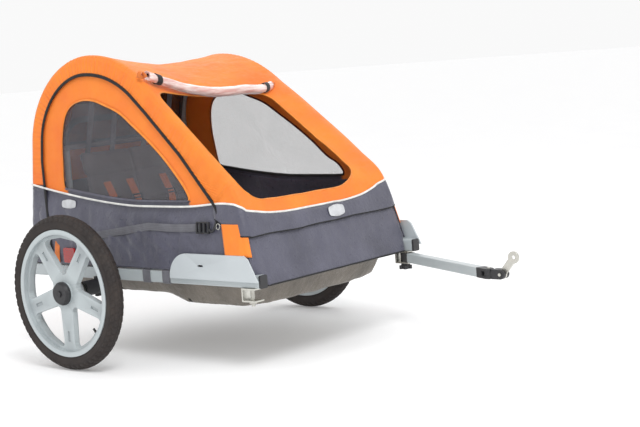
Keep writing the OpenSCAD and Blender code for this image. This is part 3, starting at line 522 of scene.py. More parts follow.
def grid(name, points, mat, skip=None, closed=False):
    """Sheet through rows of points; skip(i, j) leaves a cell out."""
    rows, cols = len(points), len(points[0])
    verts = [p for row in points for p in row]
    uvs, down = [], [0.0] * cols
    for i in range(rows):
        along = 0.0
        for j in range(cols):
            if j:
                along += (Vector(points[i][j]) - Vector(points[i][j - 1])).length / 1000
            if i:
                down[j] += (Vector(points[i][j]) - Vector(points[i - 1][j])).length / 1000
            uvs.append((along, down[j]))
    faces = []
    for i in range(rows - 1):
        for j in range(cols - (0 if closed else 1)):
            k = (j + 1) % cols
            if not (skip and skip(i, j)):
                faces.append((i * cols + j, i * cols + k, (i + 1) * cols + k, (i + 1) * cols + j))
    obj = make(name, verts, faces, uvs, mat)
    bm = bmesh.new()
    bm.from_mesh(obj.data)
    bmesh.ops.delete(bm, geom=[v for v in bm.verts if not v.link_faces], context="VERTS")
    bm.to_mesh(obj.data)
    bm.free()
    return obj


def sweep(name, path, mat, w, t, side=None, closed=False, n=12, square=0.45, width_at=None):
    """Band or cord along a path: w wide along side, t thick; a round section when w equals t."""
    pts = [Vector(p) for p in path]
    m = len(pts)
    rows, last = [], None
    for i, p in enumerate(pts):
        a = pts[i - 1] if i or closed else p
        b = pts[(i + 1) % m] if i < m - 1 or closed else p
        tangent = (b - a).normalized()
        if side is None:
            s = last if last is not None else tangent.orthogonal()
        else:
            s = Vector(side(i / max(1, m - 1)) if callable(side) else side)
        s = (s - tangent * s.dot(tangent)).normalized()
        last = s
        up = tangent.cross(s)
        ww = w * (width_at(i / max(1, m - 1)) if width_at else 1)
        row = []
        for k in range(n):
            a = 2 * math.pi * k / n
            c, d = math.cos(a), math.sin(a)
            e = square if w != t else 1
            across, off = math.copysign(abs(c) ** e, c), math.copysign(abs(d) ** e, d)
            q = p + s * (ww / 2 * across) + up * (t / 2 * off)
            row.append(tuple(q))
        rows.append(row)
    verts = [p for row in rows for p in row]
    uvs, down = [], 0.0
    for i, row in enumerate(rows):
        if i:
            down += (pts[i] - pts[i - 1]).length / 1000
        uvs += [(k / n * 2 * (w + t) / 1000, down) for k in range(n)]
    faces = []
    for i in range(m if closed else m - 1):
        j = (i + 1) % m
        for k in range(n):
            l = (k + 1) % n
            faces.append((i * n + k, i * n + l, j * n + l, j * n + k))
    if not closed:
        faces.append(tuple(reversed(range(n))))
        faces.append(tuple((m - 1) * n + k for k in range(n)))
    obj = make(name, verts, faces, uvs, mat)
    return face_outwards(obj)


def resample(path, step, closed=False):
    """Evenly spaced points on a polyline, about step apart."""
    pts = [Vector(p) for p in path] + ([Vector(path[0])] if closed else [])
    lengths = [0.0]
    for a, b in zip(pts, pts[1:]):
        lengths.append(lengths[-1] + (b - a).length)
    count = max(2, round(lengths[-1] / step))
    out, k = [], 0
    for i in range(count + (0 if closed else 1)):
        d = lengths[-1] * i / count
        while k < len(pts) - 2 and lengths[k + 1] < d:
            k += 1
        span = lengths[k + 1] - lengths[k]
        out.append(tuple(pts[k].lerp(pts[k + 1], (d - lengths[k]) / span if span else 0)))
    return out


def curve_through(points, closed=False, per=10):
    """Smooth curve through control points (Catmull-Rom)."""
    p = [Vector(q) for q in points]
    m = len(p)
    out = []
    for i in range(m if closed else m - 1):
        a = p[i - 1] if i or closed else p[0]
        b, c = p[i], p[(i + 1) % m]
        d = p[(i + 2) % m] if closed or i + 2 < m else p[m - 1]
        for k in range(per):
            t = k / per
            out.append(tuple(0.5 * ((2 * b) + (c - a) * t + (2 * a - 5 * b + 4 * c - d) * t * t
                                    + (3 * b - 3 * c + d - a) * t ** 3)))
    if not closed:
        out.append(tuple(p[-1]))
    return out


def rounded_box(name, size, mat, centre, turn=None, r=3.0, seg=3):
    """Moulded block with rounded edges, in millimetres."""
    bm = bmesh.new()
    bmesh.ops.create_cube(bm, size=1)
    for v in bm.verts:
        v.co = Vector((v.co.x * size[0], v.co.y * size[1], v.co.z * size[2]))
    bmesh.ops.bevel(bm, geom=list(bm.edges), offset=r, segments=seg, profile=0.5, affect="EDGES")
    if turn:
        bmesh.ops.rotate(bm, cent=(0, 0, 0), matrix=turn, verts=bm.verts)
    for v in bm.verts:
        v.co = world(v.co + Vector(centre))
    me = bpy.data.meshes.new(name)
    bm.to_mesh(me)
    bm.free()
    me.polygons.foreach_set("use_smooth", [True] * len(me.polygons))
    me.materials.append(MATS[mat])
    return add_object(name, me)


def settle(obj, slot, *nodes, body="chassis", fold=True, keep=0.13):
    """Rides a piece on its body, hides the CAD nodes it stands for, and gives it a mesh of its own when fold
    is set; slot is not used.
    """
    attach(obj, body)
    if nodes:
        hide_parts(*nodes)
    if fold:
        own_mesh(obj)
    return obj


def on_right(side, node):
    """The right piece stands for a CAD node that holds both sides, and the left one goes with it."""
    return (node,) if side < 0 else ()


# ---------------------------------------------------------------- camera
EYE = Vector((-2.993, -2.758, 0.788))
AIM = Vector((0, -0.151, 0.350))
ROLL = rad(-4.25)
fwd = (AIM - EYE).normalized()
right0 = fwd.cross(Vector((0, 0, 1))).normalized()
up0 = right0.cross(fwd)
right = right0 * math.cos(ROLL) + up0 * math.sin(ROLL)
up = up0 * math.cos(ROLL) - right0 * math.sin(ROLL)
cam_data = bpy.data.cameras.new("camera")
cam_data.lens = 87.58
cam_data.sensor_width = 36
cam = bpy.data.objects.new("camera", cam_data)
cam.matrix_world = Matrix((
    (right.x, up.x, -fwd.x, EYE.x), (right.y, up.y, -fwd.y, EYE.y),
    (right.z, up.z, -fwd.z, EYE.z), (0, 0, 0, 1)))
bpy.context.scene.collection.objects.link(cam)
bpy.context.scene.camera = cam

# ---------------------------------------------------------------- cover
R_COVER = 15.2
U_REAR = 3.82
U_TOP, U_LOW = 21.5, 30.45
U_MID_END = 31.5
CORNER_DROP = 0.45
U_FREE = 24.0
SAG = 26


def sag_at(u):
    if u < 8 or u >= 29.5:
        return 0
    if u < 15:
        return SAG * math.sin(math.pi / 2 * (u - 8) / 7)
    return SAG * min(1, (29.5 - u) / 7.5)


def end_u(side, inset_of):
    """Station where a column of the cover meets the piping."""
    def over(u):
        y, z = edge(u, inset_of(u) + NEST[side])
        return z - piping_z(y)
    return bisect(over, 20, 33)


FLAP, ARC, ROOF = 9, 8, 44


def columns():
    """Columns of the cover from the right hem over the roof to the left hem."""
    cols = [("flap", -1, 1 - k / FLAP) for k in range(FLAP)]
    cols += [("arc", -1, rad(90) * k / ARC) for k in range(ARC)]
    cols += [("roof", 0, k / ROOF) for k in range(ROOF + 1)]
    cols += [("arc", 1, rad(90) * (1 - k / ARC)) for k in range(1, ARC + 1)]
    cols += [("flap", 1, (k + 1) / FLAP) for k in range(FLAP)]
    return cols


COLS = columns()
U_CORNER = {s: end_u(s, lambda u: -R_COVER) for s in (-1, 1)}


def column_end(col):
    kind, side, v = col
    if kind == "flap":
        return end_u(side, lambda u: v * hem_at(u))
    if kind == "arc":
        return end_u(side, lambda u: -R_COVER * math.sin(v)) + CORNER_DROP * v / rad(90)
    corner = lerp(U_CORNER[-1], U_CORNER[1], v) + CORNER_DROP
    return corner + (U_MID_END - corner) * (1 - (2 * v - 1) ** 4)


ENDS = [column_end(c) for c in COLS]


def pleat(side, s):
    """Height of the gathers along the edge, s in millimetres along the outline."""
    drift = 5 * wob(s / 90, side * 3.1)
    a = math.sin((s + drift * 2) * 2 * math.pi / 14.5)
    b = math.sin((s * 1.37 + drift * 3) * 2 * math.pi / 14.5 + 1.3)
    return (0.65 * a + 0.35 * b) * (0.6 + 0.5 * wob(s / 37, 7 + side))


GATHER = 2.9
ARC_LEN = [0.0]
for i in range(340):
    p, q = edge(i / 10, 0), edge((i + 1) / 10, 0)
    ARC_LEN.append(ARC_LEN[-1] + math.dist(p, q))


def s_of(u):
    i = min(339, max(0, int(u * 10)))
    return lerp(ARC_LEN[i], ARC_LEN[i + 1], u * 10 - i)


def cover_point(col, u):
    kind, side, v = col
    s = s_of(u)
    if kind == "flap":
        inset = v * hem_at(u)
        amp = GATHER * (0.5 + 0.5 * v)
        return on_side(side, u, inset, R_COVER + amp * pleat(side, s) + 0.9 * wob(s / 30, v * 2, side))
    if kind == "arc":
        amp = GATHER * 0.5
        r = R_COVER + amp * pleat(side, s) * math.cos(v) ** 0.5
        return on_side(side, u, -r * math.sin(v), r * math.cos(v))
    a, b = on_side(-1, u, -R_COVER, 0), on_side(1, u, -R_COVER, 0)
    p = mix(a, b, v)
    edge_fade = smooth(min(v, 1 - v) / 0.05)
    wrinkle = 2.4 * wob(s / 60, v * 3.0) + 1.3 * wob(s / 19, v * 7.0) + 0.8 * wob(s / 9, v * 16)
    near_top = math.exp(-((s - s_of(U_TOP)) / 60) ** 2)
    bulge = 15 * math.exp(-((v - 0.95) / 0.07) ** 2) * smooth((u - 20) / 3) * smooth((28 - u) / 3)
    z = p[2] - sag_at(u) * 4 * v * (1 - v) + edge_fade * wrinkle * (1 - 0.5 * near_top)
    return (p[0], p[1] - bulge * 0.62, z + bulge * 0.5)


def row_u(u, end):
    return u if u <= U_FREE else U_FREE + (u - U_FREE) * (end - U_FREE) / (U_MID_END - U_FREE)


def spaced(a, b, step):
    n = max(1, round(abs(s_of(b) - s_of(a)) / step))
    return [a + (b - a) * k / n for k in range(n)]


STEP = 2.7
CORNER = 48
ROOF_WIDTH = 535
FAR_MARGIN = 90
corner_u = CORNER / (RUN / 6)
corner_low = CORNER / 30
top_arc = [U_TOP + corner_u * (1 - math.cos(rad(90) * k / 10)) for k in range(10)]
low_arc = [U_LOW - corner_low * (1 - math.sin(rad(90) * k / 10)) for k in range(10)]
ROWS = spaced(U_REAR, U_TOP, STEP) + top_arc + spaced(U_TOP + corner_u, U_LOW - corner_low, STEP)
ROWS += low_arc + spaced(U_LOW, U_MID_END, STEP) + [U_MID_END]
OPEN_ROWS = (ROWS.index(top_arc[0]), ROWS.index(U_LOW))
NEAR_COLS, FAR_COLS = 6, 10


def opening_cuts(u):
    """Places across the roof where the opening starts and ends at station u."""
    round_top = 1 - math.sqrt(max(0, 1 - (1 - min(1, max(0, (u - U_TOP) / corner_u))) ** 2))
    near_round = 1 - math.sqrt(max(0, 1 - (1 - min(1, max(0, (U_LOW - u) / (corner_low * 1.6)))) ** 2))
    far_round = 1 - math.sqrt(max(0, 1 - (1 - min(1, max(0, (U_LOW - u) / (corner_low * 1.9)))) ** 2))
    near = (4 + 5 * smooth((u - 26) / 4) + CORNER * max(round_top, 1.25 * near_round)) / ROOF_WIDTH
    far_gap = FAR_MARGIN + 12 * smooth((u - 26) / 4) + CORNER * max(1.6 * round_top, 2.0 * far_round)
    far = 1 - far_gap / ROOF_WIDTH
    return near, far


def roof_place(j, u):
    """Place across the roof of roof column j, bunched along the opening's edges."""
    t = j / ROOF
    near, far = opening_cuts(u)
    a, b = NEAR_COLS / ROOF, 1 - FAR_COLS / ROOF
    if u < U_TOP:
        k = smooth((u - U_TOP + 3) / 3)
    elif u > U_LOW:
        k = 1 - 0.5 * smooth((u - U_LOW) / 1.3)
    else:
        k = 1
    if t <= a:
        v = near * t / a
    elif t >= b:
        v = far + (1 - far) * (t - b) / (1 - b)
    else:
        v = near + (far - near) * (t - a) / (b - a)
    return lerp(t, v, k)


def cover_rows(rows):
    points = []
    for u in rows:
        row = []
        for c, (kind, side, v) in enumerate(COLS):
            if kind == "roof":
                j = c - FLAP - ARC
                v = roof_place(j, min(max(u, U_TOP - 3), U_MID_END))
                end = column_end(("roof", 0, v))
                row.append(cover_point(("roof", 0, v), row_u(u, end)))
            else:
                row.append(cover_point((kind, side, v), row_u(u, ENDS[c])))
        points.append(row)
    return points


def in_opening(i, j):
    first = FLAP + ARC + NEAR_COLS
    last = FLAP + ARC + ROOF - FAR_COLS
    return OPEN_ROWS[0] <= i < OPEN_ROWS[1] and first <= j < last


cover_points = cover_rows(ROWS)
cover = thicken(grid("cover", cover_points, "cloth_orange", skip=in_opening), 1.4)
settle(cover, "cloth_orange", "top_cover")

# binding round the opening
first, last = FLAP + ARC + NEAR_COLS, FLAP + ARC + ROOF - FAR_COLS
i0, i1 = OPEN_ROWS
rim = [cover_points[i][first] for i in range(i0, i1 + 1)]
rim += [cover_points[i1][j] for j in range(first + 1, last + 1)]
rim += [cover_points[i][last] for i in range(i1 - 1, i0 - 1, -1)]
rim += [cover_points[i0][j] for j in range(last - 1, first, -1)]
opening_trim = sweep("opening_trim", resample(rim, 6, True), "binding_orange", 4.2, 4.2, closed=True, n=8)
settle(opening_trim, "cloth_orange")

# grey rear wall with its side flaps
rear_rows = [0.15 + (U_REAR - 0.15) * k / 60 for k in range(61)]
rear_points = cover_rows(rear_rows)
rear_wall = thicken(grid("rear_wall", rear_points, "cloth_grey"), 1.4)
settle(rear_wall, "cloth_grey", "rear_panel")

# ---------------------------------------------------------------- front wall and its overhanging flap
FLAP_LOW = 331


def front_column(side, v, z, push):
    """Point of the front corner at height z; v is the turn round the leg, 90 degrees in front."""
    r = R_COVER + push
    inset = -r * math.sin(v)
    u = u_at_z(side, inset, z)
    return on_side(side, u, inset, r * math.cos(v))


def flap_sheet():
    down = 16
    top = cover_points[-1]
    points = []
    for i in range(down + 1):
        f = i / down
        row = []
        for c, (kind, side, v) in enumerate(COLS):
            t = top[c]
            push = 1.2 + 2.5 * math.sin(math.pi * min(1, f * 0.75))
            if kind == "flap":
                y, z = lerp(-483, -398, v) + NEST[side], lerp(333, 374, v)
                low = leaned(side, (y, z), R_COVER + 1.2)
                p = mix(t, low, f)
                p = (p[0] + side * (push + 1.4 * wob(p[1] / 14, f, side)), p[1], p[2])
            elif kind == "arc":
                ztop = t[2]
                low = front_column(side, v, lerp(ztop, 333, f), push)
                p = mix(t, low, smooth(f * 6))
            else:
                j = c - FLAP - ARC
                vv = roof_place(j, U_MID_END)
                z = lerp(t[2], FLAP_LOW + 3 * wob(vv * 5), f)
                a = front_column(-1, rad(90), z, push)
                b = front_column(1, rad(90), z, push)
                q = mix(a, b, vv)
                bulge = 4 * math.sin(math.pi * vv) + 2.5 * f * (wob(vv * 9, f) + 0.6 * wob(vv * 23, f * 2))
                q = (q[0], q[1] - bulge * smooth(f * 4), z)
                p = mix(t, q, smooth(f * 6))
            row.append(p)
        points.append(row)
    return points


flap_points = flap_sheet()
front_flap = thicken(grid("front_flap", flap_points, "cloth_grey"), 1.4)
settle(front_flap, "cloth_grey")
flap_edge = sweep("front_flap_edge", resample(flap_points[-1], 5), "elastic", 3.4, 3.4, n=8)
settle(flap_edge, "elastic")


def front_wall_sheet():
    rows, across = 30, 60
    points = []
    for i in range(rows + 1):
        z = lerp(356, 213, i / rows)
        row = []
        ends = {}
        for side in (-1, 1):
            if z >= 254:
                ends[side] = (front_column(side, rad(90), z, -2), front_column(side, rad(25), z, -2))
            else:
                k = (254 - z) / 41
                a = front_column(side, rad(90), 254, -2)
                b = front_column(side, rad(25), 254, -2)
                low = (side * 286, -536 if side < 0 else -520, 213)
                ends[side] = (mix(a, (side * 278, low[1], 213), k), mix(b, (side * 286, low[1] + 8, 213), k))
        for j in range(4):
            row.append(mix(ends[-1][1], ends[-1][0], j / 4))
        for j in range(across + 1):
            t = j / across
            p = mix(ends[-1][0], ends[1][0], t)
            fold = 3.5 * math.sin(math.pi * t) * math.sin(math.pi * i / rows)
            fold += 1.6 * wob(t * 7, z / 90) + 1.2 * wob(t * 19, z / 40)
            row.append((p[0], p[1] - fold * smooth(min(t, 1 - t) / 0.04), p[2]))
        for j in range(1, 5):
            row.append(mix(ends[1][0], ends[1][1], j / 4))
        points.append(row)
    return points


wall_points = front_wall_sheet()
front_wall = thicken(grid("front_wall", wall_points, "cloth_grey"), 1.4)
settle(front_wall, "cloth_grey", "front_panel")
front_hem = sweep("front_wall_hem", resample(wall_points[-1], 8), "elastic", 4, 4, n=8)
settle(front_hem, "elastic")

# ---------------------------------------------------------------- sides: lower wall, window frame, net
WALL_OUT = 11.4
# points (y, z) of the window's edge, from its rear foot over the top to its front foot
WINDOW = [(172, 452), (178, 520), (180, 575), (170, 630), (146, 662), (104, 677), (55, 676), (2, 660),
          (-50, 640), (-100, 607), (-150, 573), (-205, 531), (-252, 488), (-290, 448), (-306, 420)]


def window_loop(side):
    """Closed outline (y, z) of a window; the bottom follows the piping."""
    low = [(y, piping_z(y) + 13) for y in range(-284, 160, 24)]
    pts = [(p[0] - (10 if side > 0 else 0), p[1] - (16 if side > 0 and p[1] > 470 else 0), 0) for p in WINDOW]
    pts += [(y, z, 0) for y, z in low]
    loop = curve_through(pts, True, 6)
    return [(p[0], p[1]) for p in resample(loop, 7, True)]


def outer_loop(side, centre, inner):
    """Points of the outline above the piping, matched by direction to the window's points."""
    poly = [edge(U_REAR - 0.05 + k * 0.1, NEST[side] - 11.5) for k in range(270)]
    poly = [p for p in poly if p[1] > piping_z(p[0]) - 1]
    low = [(y, piping_z(y)) for y in range(int(poly[-1][0]) + 6, int(poly[0][0]) - 4, 6)]
    ring = poly + low
    ring += ring[:1]
    out = []
    for p in inner:
        d = Vector((p[0] - centre[0], p[1] - centre[1])).normalized()
        best = None
        for a, b in zip(ring, ring[1:]):
            ax, ay = a[0] - centre[0], a[1] - centre[1]
            bx, by = b[0] - a[0], b[1] - a[1]
            det = d.x * by - d.y * bx
            if abs(det) < 1e-9:
                continue
            r = (ax * by - ay * bx) / det
            k = (ax * d.y - ay * d.x) / det
            if r > 0 and -1e-6 <= k <= 1 + 1e-6:
                best = r if best is None else max(best, r)
        out.append((centre[0] + d.x * best, centre[1] + d.y * best))
    return out


frames, walls, nets, binds, linings = [], [], [], [], []
for side in (-1, 1):
    inner = window_loop(side)
    cy = (max(p[0] for p in inner) + min(p[0] for p in inner)) / 2 + 40
    cz = 520
    outer = outer_loop(side, (cy, cz), inner)
    rings = 12
    pts = []
    for k in range(rings + 1):
        f = k / rings
        row = []
        for a, b in zip(inner, outer):
            y, z = lerp(a[0], b[0], f), lerp(a[1], b[1], f)
            fold = 1.2 * wob(y / 40, z / 40, side) * math.sin(math.pi * f) + 0.5 * wob(y / 11, z / 11)
            row.append(leaned(side, (y, z), WALL_OUT + fold * 0.6))
        pts.append(row)
    frame_sheet = thicken(grid("frame%d" % side, pts, "cloth_orange", closed=True), 1.2)
    frame_sheet.data.materials.append(MATS["cloth_grey"])
    for poly in frame_sheet.data.polygons:
        c = poly.center * 1000
        y = c.y - SHIFT
        if c.z < piping_z(y) + 14.5 and -306 < y < 158:
            poly.material_index = 1
    frames.append(frame_sheet)
    pts = []
    for k in range(11):
        f = k / 10
        pts.append([leaned(side, (lerp(cy, a[0], f), lerp(cz, a[1], f)),
                               WALL_OUT + (1 - f * f) * 0.4 * wob(a[0] / 90 * f, a[1] / 90 * f, side))
                    for a in inner])
    nets.append(thicken(grid("net%d" % side, pts, "mesh", closed=True), 0.5))
    low = [p[1] < piping_z(p[0]) + 17 for p in inner]
    start = next(k for k in range(len(inner)) if low[k] and not low[k - 1])
    turned = inner[start:] + inner[:start]
    bottom = [p for p in turned if p[1] < piping_z(p[0]) + 17]
    upper = bottom[-1:] + turned[len(bottom):] + bottom[:1]
    for part, run, tint in (("up", upper, "binding_orange"), ("low", bottom, "cloth_grey")):
        loop = [leaned(side, p, WALL_OUT + 1.2) for p in run]
        binds.append((side, part, sweep("bind", loop, tint, 7, 2.0, n=10)))
    # inside each window the upper binding is painted dark red as the shade on the orange border, the lower
    # one is black elastic
    for part, run, tint in (("up", upper, "binding_shade_red"), ("low", bottom, "elastic")):
        loop = [leaned(side, p, WALL_OUT - 1.6) for p in run]
        linings.append((side, part, sweep("lining", loop, tint, 8 if part == "low" else 5.5, 1.6, n=8)))
    # lower wall, from the piping down to the rail
    pts = []
    for i in range(33):
        f = i / 32
        row = []
        for j in range(111):
            c = j / 110
            rear = REAR_Y - NEST[side] + 11
            y = rear
            # the front edge leans with the leg, so y depends on the height
            for _ in range(3):
                z = lerp(piping_z(y) + 0.5, 244, f)
                uf = u_at_z(side, -11, z)
                front_y = edge(uf, NEST[side] - 11)[0]
                y = lerp(rear, front_y, c)
            z = lerp(piping_z(y) + 0.5, 244, f)
            pouch = 5.5 * math.sin(math.pi * f) * smooth(min(c, 1 - c) / 0.06)
            drape = 2.6 * wob(y / 30, z / 160, side * 2) + 1.2 * wob(y / 11, z / 70, side)
            taut = 0.1 + 0.9 * smooth((y + 440) / 60)
            folds = 2.4 * wob((y - z * 1.3) / 26, (y + z) / 150, side) * math.sin(math.pi * f)
            full = (pouch + drape + folds) * smooth(f * 5) * smooth((1 - f) * 6 + 0.1)
            row.append(leaned(side, (y, z), WALL_OUT + full * taut))
        pts.append(row)
    walls.append(thicken(grid("wall%d" % side, pts, "cloth_grey"), 1.2))

names = {-1: "right", 1: "left"}
for side, obj in zip((-1, 1), frames):
    obj.name = "window_frame_" + names[side]
    settle(obj, "cloth_orange", *on_right(side, "window_frames"))
for side, obj in zip((-1, 1), walls):
    obj.name = "lower_wall_" + names[side]
    settle(obj, "cloth_grey", *on_right(side, "lower_walls"))
for side, obj in zip((-1, 1), nets):
    obj.name = "window_net_" + names[side]
    settle(obj, "mesh", *on_right(side, "window_meshes"))
for word, bands in (("binding", binds), ("lining", linings)):
    for side in (-1, 1):
        obj = join("window_%s_%s" % (word, names[side]), [b for s, part, b in bands if s == side])
        settle(obj, "cloth_orange" if word == "binding" else "elastic")

# ---------------------------------------------------------------- elastic hems and piping
HOOK = (-402, 354)
for side in (-1, 1):
    path = [on_side(side, u / 5, hem_at(u / 5), R_COVER + 2.4) for u in range(1, 5 * 30 + 1)]
    last_in = edge(30, hem_at(30) + NEST[side])
    path += [leaned(side, (lerp(last_in[0], HOOK[0], k / 6), lerp(last_in[1], HOOK[1], k / 6)), R_COVER + 2.4)
             for k in range(1, 7)]
    pts = resample(path, 5)
    out_dir = Vector((side * math.cos(LEAN), 0, math.sin(LEAN)))
    m = len(pts)

    def hem_side(f, pts=pts, out_dir=out_dir, m=m):
        i = min(m - 2, max(1, round(f * (m - 1))))
        return (Vector(pts[i + 1]) - Vector(pts[i - 1])).normalized().cross(out_dir)

    hem = sweep("hem_" + names[side], pts, "elastic", 9, 3.2, side=hem_side, n=12, square=0.7,
                width_at=lambda f: 1 - 0.5 * smooth((f - 0.93) / 0.07) + 0.05 * math.sin(f * 900))
    settle(hem, "elastic", *on_right(side, "hem_cords"))

# piping along both sides and across the front, one line
PIPING_OUT = 17.6
front_edge = cover_points[-1]
right_line = [leaned(-1, (y, piping_z(y)), PIPING_OUT) for y in [REAR_Y + 6 - 8 * k for k in range(83)]]
right_line = [p for p in right_line if p[1] > front_edge[0][1] + 4]
left_line = [leaned(1, (y, piping_z(y)), PIPING_OUT) for y in [REAR_Y - 16 - 8 * k for k in range(83)]]
left_line = [p for p in left_line if p[1] > front_edge[-1][1] + 4]


def lifted(points, d):
    """Points moved off the cover along its outward side."""
    out = []
    for c, p in enumerate(points):
        kind, side, v = COLS[c]
        if kind == "flap":
            n = Vector((side, 0, 0))
        elif kind == "arc":
            n = Vector((side * math.cos(v), -math.sin(v), 0))
        else:
            n = Vector((0, -1, 0.2)).normalized()
        out.append(tuple(Vector(p) + n * d))
    return out


line = right_line + lifted(front_edge, 1.8) + left_line[::-1]
pipe = sweep("piping_line", resample(line, 6), "piping_white", 5.4, 4.2, side=(0, 0.2, 1), n=12, square=0.8)
settle(pipe, "piping_white", "piping")
rear_line = rear_points[-1][FLAP + ARC:FLAP + ARC + ROOF + 1]
rear_pipe = [tuple(Vector(p) + Vector((0, 2.2, 0))) for p in rear_line]
pipe_rear = sweep("piping_rear", resample(rear_pipe, 8), "piping_white", 4.2, 4.2, n=8)
settle(pipe_rear, "piping_white")

# ---------------------------------------------------------------- rolled rain shield
ROLL_R = 14
ROLL_BOW = 36
ROLL_START, ROLL_END = -0.005, 0.885


def roll_centre(t):
    u = 21
    a, b = on_side(-1, u, -16, 0), on_side(1, u, -16, 0)
    p = mix(a, b, t)
    far_dip = smooth((t - 0.6) / 0.28)
    lift, hang = ROLL_R + 4, 4 * t * (1 - t) + 0.42 * far_dip
    return (p[0], p[1] + SLOPE_N[0] * lift + SLOPE_T[0] * ROLL_BOW * hang,
            p[2] - SAG * hang + SLOPE_N[1] * lift + SLOPE_T[1] * ROLL_BOW * hang)


def vinyl_roll():
    m, n = 64, 40
    rows = []
    for i in range(m + 1):
        t = lerp(ROLL_START, ROLL_END, i / m)
        c = roll_centre(t)
        pinch = 1 - 0.12 * (math.exp(-((t - 0.055) / 0.02) ** 2) + math.exp(-((t - 0.835) / 0.02) ** 2))
        slack = 1 + 0.10 * math.sin(math.pi * t)
        row = []
        for k in range(n):
            a = 2 * math.pi * k / n
            r = ROLL_R * pinch * slack * (0.93 + 0.09 * wob(math.cos(a) * 1.3 + 4, math.sin(a) * 1.3, t * 9)
                                          + 0.05 * wob(math.cos(a) * 3, math.sin(a) * 3, t * 26))
            z = c[2] + 0.92 * r * math.sin(a) - 2.5 * math.sin(math.pi * t)
            row.append((c[0], c[1] + r * math.cos(a), z))
        rows.append(row)
    verts = [p for row in rows for p in row]
    faces = [(i * n + k, i * n + (k + 1) % n, (i + 1) * n + (k + 1) % n, (i + 1) * n + k)
             for i in range(m) for k in range(n)]
    # each end winds inwards, like a rolled sheet
    for end, i in ((0, 0), (1, m)):
        ring = list(range(i * n, i * n + n))
        for shrink, depth in ((0.78, 0.5), (0.7, 3.0), (0.4, 3.5)):
            c = roll_centre(ROLL_START if end == 0 else ROLL_END)
            base = len(verts)
            for k in range(n):
                p = rows[i][k]
                verts.append((c[0] + (depth if end == 0 else -depth), lerp(c[1], p[1], shrink),
                              lerp(c[2], p[2], shrink)))
            new = list(range(base, base + n))
            for k in range(n):
                q = (ring[k], ring[(k + 1) % n], new[(k + 1) % n], new[k])
                faces.append(q[::-1] if end == 0 else q)
            ring = new
        faces.append(tuple(ring) if end == 0 else tuple(reversed(ring)))
    return make("rolled_shield", verts, faces, None, "vinyl")


shield = vinyl_roll()
settle(shield, "vinyl", "shield_roll")
for k, t in enumerate((0.055, 0.835)):
    a, b = Vector(roll_centre(t - 0.005)), Vector(roll_centre(t + 0.005))
    axis = (b - a).normalized()
    ring = []
    for j in range(28):
        a2 = 2 * math.pi * j / 28
        ring.append(tuple(Vector(roll_centre(t)) + 13.4 * Vector((0, math.cos(a2), math.sin(a2)))))
    band = sweep("roll_band_%d" % k, ring, "webbing_black", 15, 1.6, side=tuple(axis), closed=True, n=12)
    settle(band, "elastic", *(["roll_bands"] if k == 0 else []))
for k, (t, s) in enumerate(((-0.035, -1), (0.92, 1))):
    c = Vector(roll_centre(t)) - Vector((0, 0, 8))
    tab_path = []
    for f in [j / 10 for j in range(11)]:
        x = -s * 9 * (1 - f) + s * 3 * math.sin(f * 3)
        tab_path.append(tuple(c + Vector((x, 12 * f - 4, 12 * math.sin(math.pi * f) - 4))))
    tab = sweep("roll_tab_%d" % k, tab_path, "webbing_orange", 18, 2, side=(0.3 * s, 1, 0.2), n=12)
    settle(tab, "cloth_orange", *(["roll_tabs"] if k == 0 else []))

# ---------------------------------------------------------------- seat
SEAT_XS = (-105, 105)


PAD_VOXEL = 0.0055


